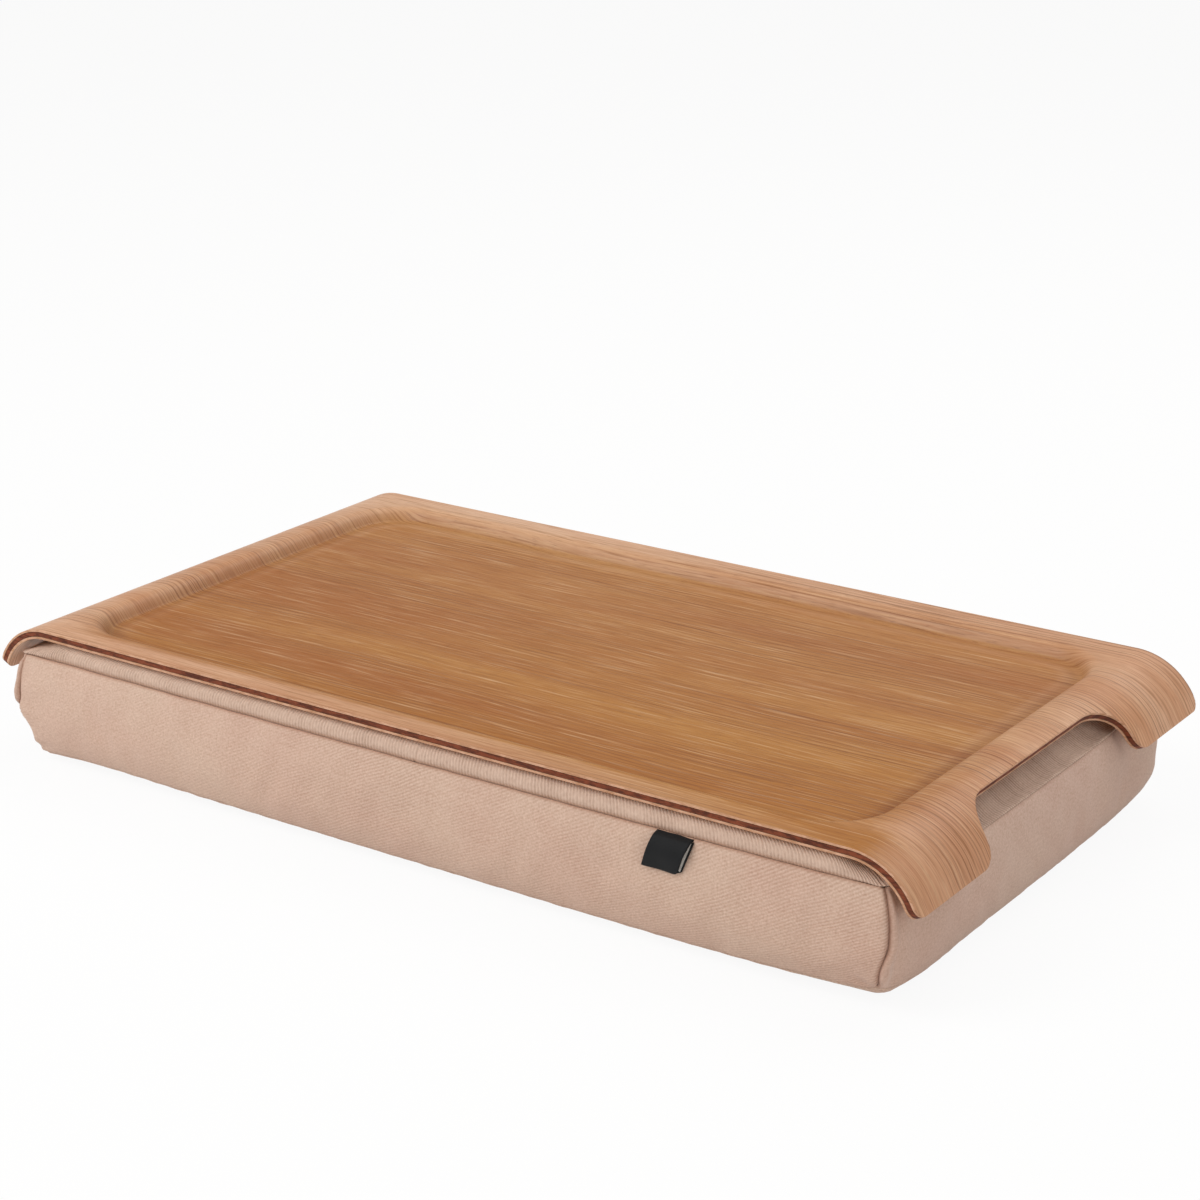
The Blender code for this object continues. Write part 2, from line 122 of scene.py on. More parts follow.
def newMaterial(name, settings):
    look = bpy.data.materials.new(name)
    look.use_nodes = True
    shader = look.node_tree.nodes["Principled BSDF"]
    for key, value in settings.items():
        shader.inputs[key].default_value = linearColour(value) if isinstance(value, str) else value
    return look, look.node_tree, shader


def layColours(tree, body, layers):
    # Each layer has its blend, its share and its colour, and lies over the ones before it
    for blend, share, colour in layers:
        body = addNode(tree, "ShaderNodeMix", {"data_type": "RGBA", "blend_type": blend,
                                               0: share, 6: body, 7: colour}, 2)
    return body


def finishLook(tree, shader, body, height, strength, depth):
    bump = addNode(tree, "ShaderNodeBump", {"Strength": strength, "Distance": depth, "Height": height})
    tree.links.new(body, shader.inputs["Base Color"])
    tree.links.new(bump, shader.inputs["Normal"])


def newPiece(name, bm, body, looks, sharp=None):
    mesh = bpy.data.meshes.new(name)
    bm.to_mesh(mesh)
    bm.free()
    piece = bpy.data.objects.new(name, mesh)
    bpy.context.scene.collection.objects.link(piece)
    for look in looks:
        mesh.materials.append(look)
    mesh.shade_smooth()
    if sharp:
        mesh.set_sharp_from_angle(angle=math.radians(sharp))
    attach(piece, body)
    return piece


def woodPattern(tree, coordinates, perMetre, detail, seed):
    # Noise with so many marks per metre along the grain, across it and up
    place = addNode(tree, "ShaderNodeMapping", {"Location": (seed, seed * 0.7, 0), "Scale": perMetre,
                                                "Vector": coordinates})
    return addNode(tree, "ShaderNodeTexNoise", {"Scale": 1.0, "Detail": detail, "Roughness": 0.55,
                                                "Vector": place})


veneer = dict(
    # The floor colour, laid on by the gold tint, is partly the veneer's own golden tone and partly painted
    # shadow
    rim="#D3A27E", floor="#B47930", paintedSheenColour="#EDC9AC", line="#7A4826", streak="#97632F",
    # The crease colour is painted shade
    pale="#E3BE97", crease="#DCCBA6", back="#DDB798",
    lacquer={"Roughness": 0.42, "Specular IOR Level": 0.30, "Coat Weight": 0.08, "Coat Roughness": 0.38},
    # Spacing, sharpness and weight of the growth lines
    lines=((0.0026, 0.45, 1.0), (0.0012, 0.55, 0.40)),
    # Marks per metre along and across the grain, detail and seed. The fibres, 0.7 mm apart, and the
    # pores are drawn coarser than real ones, so that they show
    marks=dict(groups=((1 / 0.30, 50, 1), 1, 11), wide=((1 / 0.30, 30, 1), 2, 21),
               breaks=((9, 420, 1), 1, 13), streaks=((26, 950, 1), 2, 5),
               fibres=((60, 1 / 0.0007, 1), 2, 7), pores=((170, 2600, 1), 1, 2)),
    # How the lines wander: the same four values, and the reach in metres
    wander=(((1.4 / 0.30, 12, 1), 2, 3.1, 0.008), ((1 / 0.30, 110, 1), 1, 6.3, 0.006)),
    # Where the tints begin and how far they take to grow
    # The gold tint is partly the veneer's tone and partly painted shadow on the recess floor and the front
    # rim
    goldReach=0.024, goldFront=(0.088, 0.016), goldLeft=(-0.20, 0.07), goldRight=(-0.21, 0.02),
    # The crease tint is painted shade at the base of the recess wall
    creaseReach=0.0030, creaseOut=0.001, creaseIn=0.0012,
    # The paler strips at the back edge and the far left are a painted highlight, the lacquer's sheen painted
    # in
    paintedSheenBack=(-0.03, 0.10), paintedSheenLeft=(0.155, 0.035), paintedSheenRim=(-0.011, 0.013),
    backPaintedSheen=0.58, leftPaintedSheen=0.70, floorShare=0.15,
)


def growthLines(tree, place, spacing, sharpness):
    # Late wood darkens slowly towards each line and ends at once, as sliced growth rings do
    saw = addNode(tree, "ShaderNodeTexWave", {"bands_direction": "Y", "wave_profile": "SAW",
                                              "Scale": math.pi / 10 / spacing, "Vector": place}, "Fac")
    rise = addNode(tree, "ShaderNodeMapRange", {"From Min": 1 - sharpness, "From Max": 1.0, "Value": saw})
    return addNode(tree, "ShaderNodeMath", {"operation": "POWER", 0: rise, 1: 2.0})


def veneerLook(name, rim, floor):
    # Sliced straight-grained veneer under satin lacquer: long fine dark growth lines that come in
    # groups, short streaks and pores between them, and a soft shine broken by the grain
    look, tree, shader = newMaterial(name, veneer["lacquer"])
    grain = addNode(tree, "ShaderNodeUVMap", {"uv_map": "grain"})
    goldAndShadow, creaseShade, paintedSheen = [addNode(tree, "ShaderNodeAttribute", {"attribute_name": tint}, "Fac")
                          for tint in ("goldAndShadow", "creaseShade", "paintedSheen")]
    shift = 0.0
    for perMetre, detail, seed, reach in veneer["wander"]:
        pattern = woodPattern(tree, grain, perMetre, detail, seed)
        middle = addNode(tree, "ShaderNodeMath", {"operation": "SUBTRACT", 0: pattern, 1: 0.5})
        part = addNode(tree, "ShaderNodeMath", {"operation": "MULTIPLY", 0: middle, 1: reach})
        shift = addNode(tree, "ShaderNodeMath", {"operation": "ADD", 0: shift, 1: part})
    bent = addNode(tree, "ShaderNodeCombineXYZ", {"Y": shift})
    moved = addNode(tree, "ShaderNodeVectorMath", {"operation": "ADD", 0: grain, 1: bent})
    groups, wide, breaks, streaks, fibres, pores = [woodPattern(tree, moved, *mark)
                                                    for mark in veneer["marks"].values()]
    warm = addNode(tree, "ShaderNodeValToRGB", {"stops": ((0.34, "#FFFFFF"), (0.66, "#E2C5AB")), "Fac": wide})
    lighter = addNode(tree, "ShaderNodeMapRange", {"From Min": 0.54, "From Max": 0.72, "To Max": 0.48,
                                                   "Value": streaks})
    darker = addNode(tree, "ShaderNodeMapRange", {"From Min": 0.46, "From Max": 0.30, "To Max": 0.55,
                                                  "Value": streaks})
    # Over the rim colour lie the gold tint, partly painted shadow, and the paler strips, a painted highlight
    body = layColours(tree, rim, (
        ("MIX", goldAndShadow, floor), ("MIX", paintedSheen, veneer["paintedSheenColour"]), ("MULTIPLY", 0.8, warm),
        ("MIX", lighter, veneer["pale"]), ("MIX", darker, veneer["streak"])))
    grouped = addNode(tree, "ShaderNodeMapRange", {"From Min": 0.44, "From Max": 0.58, "To Min": 0.15,
                                                   "To Max": 0.9, "Value": groups})
    broken = addNode(tree, "ShaderNodeMapRange", {"From Min": 0.30, "From Max": 0.58, "To Min": 0.25,
                                                  "To Max": 1.0, "Value": breaks})
    strength = addNode(tree, "ShaderNodeMath", {"operation": "MULTIPLY", 0: grouped, 1: broken})
    for spacing, sharpness, weight in veneer["lines"]:
        line = growthLines(tree, moved, spacing, sharpness)
        line = addNode(tree, "ShaderNodeMath", {"operation": "MULTIPLY", 0: line, 1: strength})
        share = addNode(tree, "ShaderNodeMath", {"operation": "MULTIPLY", 0: line, 1: weight})
        body = layColours(tree, body, [("MIX", share, veneer["line"])])
    fine = addNode(tree, "ShaderNodeValToRGB", {"stops": ((0.38, "#FFFFFF"), (0.66, "#DFC9B4")),
                                                "Fac": fibres})
    dots = addNode(tree, "ShaderNodeValToRGB", {"stops": ((0.60, "#FFFFFF"), (0.72, "#8F6243")),
                                                "Fac": pores})
    # Painted shade darkens the crease
    creaseShaded = addNode(tree, "ShaderNodeMath", {"operation": "MULTIPLY", 0: creaseShade, 1: 0.95})
    body = layColours(tree, body, (("MULTIPLY", 0.5, fine), ("MULTIPLY", 0.3, dots),
                                   ("MULTIPLY", creaseShaded, veneer["crease"])))
    gloss = addNode(tree, "ShaderNodeMapRange", {"From Min": 0.3, "From Max": 0.7, "To Min": 0.36,
                                                 "To Max": 0.50, "Value": fibres})
    tree.links.new(gloss, shader.inputs["Roughness"])
    finishLook(tree, shader, body, fibres, 0.25, 0.0001)
    return look


edges = dict(face=("#D6A98C", "#BC8C6B"), core=("#834329", "#562A1A"),
             flecks=((260, 260, 900), 2, 9), clouds=((40, 40, 40), 1, 4))      # marks per metre, detail, seed


def cutEdgeLook(name, pale, dark):
    # Sawn and sanded ply edge: short fibres show as fine flecks along the sheet, matt and dry
    look, tree, shader = newMaterial(name, {"Roughness": 0.6, "Specular IOR Level": 0.2})
    grain = addNode(tree, "ShaderNodeTexCoord", {}, "Object")
    flecks = woodPattern(tree, grain, *edges["flecks"])
    cloudy = woodPattern(tree, grain, *edges["clouds"])
    body = addNode(tree, "ShaderNodeValToRGB", {"stops": ((0.36, dark), (0.62, pale)), "Fac": flecks})
    worn = addNode(tree, "ShaderNodeValToRGB", {"stops": ((0.35, "#D9C4B4"), (0.6, "#FFFFFF")),
                                                "Fac": cloudy})
    finishLook(tree, shader, layColours(tree, body, [("MULTIPLY", 0.25, worn)]), flecks, 0.3, 0.0001)
    return look


def bendStart():
    return (tray["halfLength"] - tray["bendRadius"] * math.sin(tray["bendAngle"])
            - tray["tip"] * math.cos(tray["bendAngle"]))


def sheetHalf():
    return bendStart() + tray["bendRadius"] * tray["bendAngle"] + tray["tip"]


def wallRise(outside, layer, depth):
    crease, shoulder = tray["crease"] + layer, tray["shoulder"] - layer
    turn = tray["slope"]
    run = wallRun(depth)
    if outside <= 0:
        return 0
    if outside < crease * math.sin(turn):
        return crease - math.sqrt(crease ** 2 - outside ** 2)
    if outside < run - shoulder * math.sin(turn):
        return crease * (1 - math.cos(turn)) + (outside - crease * math.sin(turn)) * math.tan(turn)
    if outside < run:
        return depth - shoulder + math.sqrt(shoulder ** 2 - (run - outside) ** 2)
    return depth


def wallRun(depth):
    turn = tray["slope"]
    fillets = tray["crease"] + tray["shoulder"]
    return fillets * math.sin(turn) + (depth - fillets * (1 - math.cos(turn))) / math.tan(turn)


def recessHalf():
    return tray["halfLength"] - tray["endRim"], tray["halfDepth"] - tray["frontRim"]


def outsideRecess(x, y):
    halfX, halfY = recessHalf()
    overX = max(abs(x) - halfX + tray["recessCorner"], 0)
    overY = max(abs(y) - halfY + tray["recessCorner"], 0)
    return math.hypot(overX, overY) - tray["recessCorner"]


def facePoint(along, y):
    reach = abs(along) - bendStart()
    x, fall = abs(along), 0
    if reach > 0:
        bendLength = tray["bendRadius"] * tray["bendAngle"]
        angle = min(reach, bendLength) / tray["bendRadius"]
        tip = max(reach - bendLength, 0)
        x = bendStart() + tray["bendRadius"] * math.sin(angle) + tip * math.cos(tray["bendAngle"])
        fall = tray["bendRadius"] * (1 - math.cos(angle)) + tip * math.sin(tray["bendAngle"])
    rise = wallRise(outsideRecess(x, y), 0, tray["recessDepth"])
    return Vector((math.copysign(x, along), y, tray["rimHeight"] - tray["recessDepth"] + rise - fall))


def sheetPoint(along, y, layer):
    probe = 0.00004
    lengthwise = facePoint(along + probe, y) - facePoint(along - probe, y)
    crosswise = facePoint(along, y + probe) - facePoint(along, y - probe)
    return facePoint(along, y) - layer * lengthwise.cross(crosswise).normalized()


def roundedOutline(corners, radii, steps):
    points = []
    for index, corner in enumerate(corners):
        here = Vector(corner)
        back = (Vector(corners[index - 1]) - here).normalized()
        ahead = (Vector(corners[(index + 1) % len(corners)]) - here).normalized()
        half = math.acos(max(min(back.dot(ahead), 1), -1)) / 2
        middle = here + (back + ahead).normalized() * radii[index] / math.sin(half)
        first = (here + back * radii[index] / math.tan(half) - middle).normalized()
        last = (here + ahead * radii[index] / math.tan(half) - middle).normalized()
        points += [middle + first.slerp(last, step / steps) * radii[index] for step in range(steps + 1)]
    return points


def rectangle(halfX, halfY, corner, steps):
    corners = [(-halfX, -halfY), (halfX, -halfY), (halfX, halfY), (-halfX, halfY)]
    return roundedOutline(corners, [corner] * 4, steps)


def trayOutline():
    mouth, top = tray["gripMouth"] / 2, tray["gripTop"] / 2
    end, half = sheetHalf(), tray["halfDepth"]
    deep = end - tray["gripReach"]
    right = [(end, -half), (end, -mouth), (deep, -top), (deep, top), (end, mouth), (end, half)]
    left = [(-x, -y) for x, y in right]
    radii = [tray["corner"], tray["legCorner"], tray["gripCorner"]]
    return roundedOutline(right + left, (radii + radii[::-1]) * 2, tray["gripSteps"])


def addLoop(bm, points):
    verts = [bm.verts.new((point.x, point.y, 0)) for point in points]
    return [bm.edges.new((verts[index - 1], vert)) for index, vert in enumerate(verts)]


def wallPlaces():
    # How far outside the floor the rings of the recess lie
    run, turn = wallRun(tray["recessDepth"]), tray["slope"]
    crease, shoulder = tray["crease"] * math.sin(turn), tray["shoulder"] * math.sin(turn)
    low, high = tray["creaseSteps"], tray["shoulderSteps"]
    places = tray["floorRings"] + [tray["crease"] * math.sin(turn * step / low) for step in range(low + 1)]
    places += [mix(crease, run - shoulder, 0.5)]
    return places + [run - tray["shoulder"] * math.sin(turn * step / high) for step in range(high, -1, -1)]


def flatSheet():
    bm = bmesh.new()
    halfX, halfY = recessHalf()
    rings = []
    for out in wallPlaces():
        points = rectangle(halfX + out, halfY + out, tray["recessCorner"] + out, tray["cornerSteps"])
        rings.append(addLoop(bm, points))
    for inner, outer in zip(rings, rings[1:]):
        bmesh.ops.bridge_loops(bm, edges=inner + outer)
    bmesh.ops.holes_fill(bm, edges=rings[0])
    outline = addLoop(bm, trayOutline())
    bmesh.ops.triangle_fill(bm, edges=rings[-1] + outline, use_beauty=True)
    lines = int((sheetHalf() - bendStart()) / tray["lineSpacing"])
    for line in range(lines):
        for side in (-1, 1):
            place = side * (bendStart() + line * tray["lineSpacing"])
            bmesh.ops.bisect_plane(bm, geom=bm.verts[:] + bm.edges[:] + bm.faces[:], dist=0.00001,
                                   plane_co=(place, 0, 0), plane_no=(1, 0, 0))
    bmesh.ops.recalc_face_normals(bm, faces=bm.faces[:])
    if sum(face.normal.z for face in bm.faces) < 0:
        bmesh.ops.reverse_faces(bm, faces=bm.faces[:])
    return bm


def tintSheet(bm):
    # Partly painted shadow: the recess floor and the front rim are made darker and more golden
    goldAndShadow = bm.verts.layers.float.new("goldAndShadow")            # 1 on the recess floor, less on the rims
    # Painted shade: 1 in the crease at the base of the wall, fading away from it
    creaseShade = bm.verts.layers.float.new("creaseShade")            # 1 in the crease at the foot of the wall
    # Painted highlight: the back strip and the far left rim are made paler, as the lacquer's sheen, less so
    # on the recess floor
    paintedSheen = bm.verts.layers.float.new("paintedSheen")        # the strips at the back edge and left are paler
    for vert in bm.verts:
        x, y = vert.co.xy
        outside = outsideRecess(x, y)
        front = fade(-y, *veneer["goldFront"]) * fade(x, *veneer["goldLeft"])
        vert[goldAndShadow] = max(smooth(1 - outside / veneer["goldReach"]), front * fade(-x, *veneer["goldRight"]))
        away = max(outside - veneer["creaseOut"], -outside - veneer["creaseIn"], 0)
        vert[creaseShade] = hump(away, 0, veneer["creaseReach"])
        vert[paintedSheen] = max(veneer["backPaintedSheen"] * fade(y, *veneer["paintedSheenBack"]),
                           veneer["leftPaintedSheen"] * fade(-x, *veneer["paintedSheenLeft"]))
        vert[paintedSheen] *= mix(veneer["floorShare"], 1, fade(outside, *veneer["paintedSheenRim"]))


def plyPiece(name, node, sheet, top, bottom, eased, looks):
    # A ply is the blank from one depth to another, pressed. eased is the depth of its rounded edge
    bm = sheet.copy()
    for vert in bm.verts:
        vert.co.z = -top
    copied = bmesh.ops.extrude_face_region(bm, geom=bm.faces[:], use_keep_orig=True)
    for item in copied["geom"]:
        if isinstance(item, bmesh.types.BMVert):
            item.co.z = -bottom
    bmesh.ops.recalc_face_normals(bm, faces=bm.faces[:])
    for face in bm.faces:
        face.material_index = 1 if abs(face.normal.z) < 0.5 else 0
    if eased is not None:
        rim = [edge for edge in bm.edges if all(abs(vert.co.z + eased) < 1e-6 for vert in edge.verts)
               and {face.material_index for face in edge.link_faces} == {0, 1}]
        bmesh.ops.bevel(bm, geom=rim, offset=tray["easedEdge"], segments=2, profile=0.5, material=-1,
                        affect="EDGES")
    grain = bm.loops.layers.uv.new("grain")
    for face in bm.faces:
        for loop in face.loops:
            loop[grain].uv = (loop.vert.co.x, loop.vert.co.y)
    tintSheet(bm)
    for vert in bm.verts:
        vert.co = sheetPoint(vert.co.x, vert.co.y, -vert.co.z)
    piece = newPiece(name, bm, "tray", looks, sharp=38)
    normals = piece.modifiers.new("evenShading", "WEIGHTED_NORMAL")
    normals.keep_sharp = True
    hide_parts(node)


def makeTray():
    face = veneerLook("lacqueredWillowVeneer", veneer["rim"], veneer["floor"])
    faceEdge = cutEdgeLook("sandedVeneerEdge", *edges["face"])
    core = cutEdgeLook("redBrownCoreVeneer", *edges["core"])
    back = veneerLook("lacqueredBackVeneer", veneer["back"], veneer["back"])
    sheet = flatSheet()
    print("blank cut")
    coreTop = tray["facePly"] + tray["glueLine"]
    backTop = coreTop + tray["corePly"] + tray["glueLine"]
    bottom = backTop + tray["backPly"]
    plyPiece("veneerFace", "face_veneer", sheet, 0, tray["facePly"], 0, [face, faceEdge])
    plyPiece("veneerCore", "core_ply", sheet, coreTop, coreTop + tray["corePly"], None, [core, core])
    plyPiece("veneerBack", "back_veneer", sheet, backTop, bottom, bottom, [back, faceEdge])
    sheet.free()


cloths = dict(
    front=dict(pale="#DBC0AE", shade="#B58B76", pitch=0.0012, slant=math.radians(27), relief=0.00014,
               least=0.20, most=0.46, napEnd=0.22),
    end=dict(pale="#D3B6A5", shade="#B69684", pitch=0.0011, slant=math.radians(88), relief=0.00010,
             least=0.08, most=0.20, napEnd=0.001),
)

# Marks per metre and detail. The yarn, 0.8 mm thick, and the twill lines are drawn coarser than the
# cloth's own, so that they show
clothMarks = dict(yarn=(1300, 2), thick=(600, 2), worn=(70, 2), faded=(9, 1), cloudy=(16, 3))


def clothLook(name, pale, shade, pitch, slant, relief, least, most, napEnd):
    # Brushed cotton twill: fine slanting lines of soft yarn that are worn smooth in places, matt,
    # with a slight bloom of loose fibre. The brushed nap hides the lines up to napEnd along the cloth,
    # and they wander by 3 mm in about 30
    look, tree, shader = newMaterial(name, {"Roughness": 0.92, "Sheen Weight": 0.20, "Sheen Roughness": 0.6})
    weave = addNode(tree, "ShaderNodeUVMap", {"uv_map": "weave"})
    sway = addNode(tree, "ShaderNodeTexNoise", {"Scale": 30.0, "Detail": 1.0, "Vector": weave}, "Color")
    shift = addNode(tree, "ShaderNodeVectorMath", {"operation": "MULTIPLY_ADD", 0: sway,
                                                   1: (0.003, 0.003, 0), 2: weave})
    turned = addNode(tree, "ShaderNodeMapping", {"Rotation": (0, 0, -slant), "Vector": shift})
    ribs = addNode(tree, "ShaderNodeTexWave", {"bands_direction": "Y", "Scale": math.pi / 10 / pitch,
                                               "Vector": turned}, "Fac")
    yarn, thick, worn, faded, cloudy = [
        addNode(tree, "ShaderNodeTexNoise", {"Scale": perMetre, "Detail": detail, "Vector": weave})
        for perMetre, detail in clothMarks.values()]
    both = addNode(tree, "ShaderNodeMath", {"operation": "ADD", 0: worn, 1: faded})
    patch = addNode(tree, "ShaderNodeMath", {"operation": "MULTIPLY", 0: both, 1: 0.5})
    patchy = addNode(tree, "ShaderNodeMapRange", {"From Min": 0.40, "From Max": 0.58, "To Min": least,
                                                  "To Max": most, "Value": patch})
    along = addNode(tree, "ShaderNodeSeparateXYZ", {0: weave})
    bare = addNode(tree, "ShaderNodeMapRange", {"From Min": 0.0, "From Max": napEnd, "To Min": 0.30,
                                                "Value": along})
    showing = addNode(tree, "ShaderNodeMath", {"operation": "MULTIPLY", 0: patchy, 1: bare})
    valley = addNode(tree, "ShaderNodeMath", {"operation": "SUBTRACT", 0: 1.0, 1: ribs})
    dark = addNode(tree, "ShaderNodeMath", {"operation": "MULTIPLY", 0: valley, 1: showing})
    tints = [addNode(tree, "ShaderNodeValToRGB", {"stops": stops, "Fac": pattern}) for stops, pattern in (
        (((0.3, "#D6C8BE"), (0.65, "#FFFFFF")), yarn),
        (((0.36, "#E6D6CC"), (0.60, "#FFFFFF")), thick),
        (((0.36, "#F4DFD8"), (0.62, "#FFFDF6")), cloudy))]
    body = layColours(tree, pale, (("MIX", dark, shade), ("MULTIPLY", 0.5, tints[0]),
                                   ("MULTIPLY", 0.3, tints[1]), ("MULTIPLY", 0.35, tints[2])))
    lines = addNode(tree, "ShaderNodeMath", {"operation": "MULTIPLY", 0: ribs, 1: showing})
    half = addNode(tree, "ShaderNodeMath", {"operation": "MULTIPLY", 0: yarn, 1: 0.5})
    height = addNode(tree, "ShaderNodeMath", {"operation": "ADD", 0: lines, 1: half})
    finishLook(tree, shader, seamTint(tree, body), height, 0.7, relief)
    return look


def seamTint(tree, body):
    # Cloth turned into a seam sees only cloth, so its shade is a warm brown
    seam = addNode(tree, "ShaderNodeAttribute", {"attribute_name": "seam"}, "Fac")
    share = addNode(tree, "ShaderNodeMath", {"operation": "MULTIPLY", 0: seam, 1: 0.9})
    return layColours(tree, body, [("MULTIPLY", share, "#D2BBAC")])


def ribLook():
    # Knitted cotton rib: soft vertical wales whose valleys are darkened with painted shade, more towards the
    # tray above and in the grips. The wales are modelled in the mesh and only tinted here, in flecks 2.5 mm
    # wide and 17 mm long
    look, tree, shader = newMaterial("knittedRib", {"Roughness": 0.92, "Sheen Weight": 0.2})
    weave = addNode(tree, "ShaderNodeUVMap", {"uv_map": "weave"})
    wale, climb = [addNode(tree, "ShaderNodeAttribute", {"attribute_name": layer}, "Fac")
                   for layer in ("wale", "climb")]
    perMetre, detail = clothMarks["yarn"]
    yarn = addNode(tree, "ShaderNodeTexNoise", {"Scale": perMetre, "Detail": detail, "Vector": weave})
    long = addNode(tree, "ShaderNodeMapping", {"Scale": (400.0, 60.0, 1), "Vector": weave})
    uneven = addNode(tree, "ShaderNodeTexNoise", {"Scale": 1.0, "Detail": 2.0, "Vector": long})
    depth = addNode(tree, "ShaderNodeMapRange", {"From Min": 0.35, "From Max": 0.65, "To Min": 0.35,
                                                 "To Max": 1.0, "Value": uneven})
    # Painted shade in the valleys between the wales, deeper towards the tray above and in the grips
    valley = addNode(tree, "ShaderNodeMapRange", {"From Min": 0.6, "From Max": -0.9, "To Max": 0.52,
                                                  "Value": wale})
    upper = addNode(tree, "ShaderNodeMapRange", {"From Min": 0.05, "From Max": 1.10, "To Min": 0.40,
                                                 "To Max": 1.66, "Value": climb})
    depth = addNode(tree, "ShaderNodeMath", {"operation": "MULTIPLY", 0: depth, 1: upper})
    dark = addNode(tree, "ShaderNodeMath", {"operation": "MULTIPLY", 0: valley, 1: depth})
    fine = addNode(tree, "ShaderNodeValToRGB", {"stops": ((0.3, "#D6C8BE"), (0.65, "#FFFFFF")), "Fac": yarn})
    body = seamTint(tree, layColours(tree, "#D8BCA9", [("MIX", dark, "#7E5543")]))
    finishLook(tree, shader, layColours(tree, body, [("MULTIPLY", 0.45, fine)]), yarn, 0.5, 0.0001)
    return look


def cushionTop(x, y):
    # Height of the cushion under the tray: it follows the sheet's underside, a clearance below it
    rise = wallRise(outsideRecess(x, y), sheetAbove, dishDepth)
    reach = abs(x) - bendStart()
    radius = tray["bendRadius"] - sheetAbove
    arcReach = radius * math.sin(tray["bendAngle"])
    fall = 0
    if reach > 0:
        fall = radius - math.sqrt(radius ** 2 - min(reach, arcReach) ** 2)
        fall += max(reach - arcReach, 0) * math.tan(tray["bendAngle"])
    end = fade(abs(x), *cushion["pastDish"])
    # Past the dish the band never dips below its seam
    seamTop = cushion["topSeam"] + cushion["topRise"] + cushion["clearance"]
    return max(dishFloor + rise - fall - cushion["endHollow"] * end, mix(dishFloor, seamTop, end))


# Rings round the cushion, from the flat underside up to the bottom of the dish. A ring's row is its
# place on the simulated skin

rowCounts = dict(base=6, side=14, roll=4)


def baseRing(share):
    angle = share * cushion["baseTurn"]
    inward = 1 - math.sin(angle) / math.sin(cushion["baseTurn"])
    climb = (1 - math.cos(angle)) / (1 - math.cos(cushion["baseTurn"]))
    return dict(halfX=cushion["bellyHalfLength"] - cushion["baseDraw"] - cushion["baseRoundEnd"] * inward,
                halfY=cushion["bellyHalfDepth"] - cushion["baseDraw"] - cushion["baseRoundFront"] * inward,
                corner=cushion["corner"], crown=cushion["crown"] * share, height=cushion["baseSeam"] * climb,
                rise=cushion["baseRise"] * climb, lift=0, row=share * rowCounts["base"])


def sideRing(share):
    low = max(1 - share / cushion["bellyShare"], 0)
    high = max(share - cushion["bellyShare"], 0) / (1 - cushion["bellyShare"])
    draw = cushion["baseDraw"] * low ** 3
    return dict(halfX=cushion["bellyHalfLength"] - draw - cushion["topDrawEnd"] * high ** 2,
                halfY=cushion["bellyHalfDepth"] - draw - cushion["topDrawFront"] * high ** 2,
                corner=cushion["corner"], crown=cushion["crown"],
                height=mix(cushion["baseSeam"], cushion["topSeam"], share),
                rise=mix(cushion["baseRise"], cushion["topRise"], share), lift=0,
                row=rowCounts["base"] + share * rowCounts["side"])


def rollRing(share):
    angle = share * math.pi / 2
    toward = (1 - math.cos(angle)) ** 1.5
    return dict(halfX=cushion["bellyHalfLength"] - cushion["topDrawEnd"] - cushion["endRoll"] * toward,
                halfY=cushion["bellyHalfDepth"] - cushion["topDrawFront"] - cushion["frontRoll"] * toward,
                corner=cushion["corner"], crown=cushion["crown"] * math.cos(angle),
                height=cushion["topSeam"], rise=cushion["topRise"], lift=math.sin(angle),
                row=rowCounts["base"] + rowCounts["side"] + share * rowCounts["roll"])


def dishRing(outside):
    halfX, halfY = recessHalf()
    return dict(halfX=halfX + outside, halfY=halfY + outside, corner=tray["recessCorner"] + outside,
                crown=0, height=cushion["topSeam"], rise=0, lift=1, row=sum(rowCounts.values()))


slouch = dict(
    # Pairs are where an effect starts or peaks and how far it takes to grow or fade, in metres
    left=(0.125, 0.075), belly=(0.014, 0.018), reach=0.0014, topFull=0.0016, topSpread=0.012,
    leftRise=-0.30,
    # The front left corner is slack below its middle, where the cloth runs straight down and in
    cut=0.0041, cutHeight=(0.0135, 0.0078), cutLeft=(0.165, 0.035), cutFront=(-0.01, 0.10),
    # The front right corner is full at its lower end
    full=0.0015, fullRight=(0.199, 0.014), fullFront=(-0.086, 0.026), fullHeight=(0.006, 0.007),
    # The back right corner is pulled in above its base
    backPull=0.0050, pullWay=(0.80, 0.60, 0), pullRight=(0.160, 0.044), pullBack=(0.050, 0.048),
    pullUp=(0.004, 0.022),
    # Between the corners the end seams sink below the rolled ends of the tray
    endDrop=0.0030, dropEnd=(0.185, 0.015), dropMiddle=(-0.100, 0.025),
    # How far the corner seams wander along the edge, to the right
    shiftWidth=0.012, leftShift=0.0030, leftTurn=-0.0070, turnHeight=(0.0175, 0.012), backTurn=0.0060,
    rightSwing=-0.0026, swingBelow=(-0.027, 0.013), swingFoot=(0.007, 0.006), footShare=0.72,
)


def seamShift(corner, height):
    # Corners count from the front left one. Three of them have a seam that wanders as it goes down
    if corner == 0:
        return mix(slouch["leftTurn"], slouch["leftShift"], fade(height, *slouch["turnHeight"]))
    if corner == 2:
        return slouch["backTurn"]
    swing = slouch["rightSwing"] * fade(-height, *slouch["swingBelow"])
    return swing * mix(slouch["footShare"], 1, fade(height, *slouch["swingFoot"]))


def cornerShift(side, place, height):
    # Both panels at a corner start where its seam is. The back left seam runs straight down
    if side == 3 and place < 0 or side == 2 and place > 0:
        return side, place
    corner = side if place < 0 else (side + 1) % 4
    before = (corner - 1) % 4
    distance = (place + 1 if side == corner else place - 1) * sideLength(side) / 2
    distance += seamShift(corner, height) * hump(distance, 0, slouch["shiftWidth"])
    if distance >= 0:
        return corner, distance / (sideLength(corner) / 2) - 1
    return before, distance / (sideLength(before) / 2) + 1


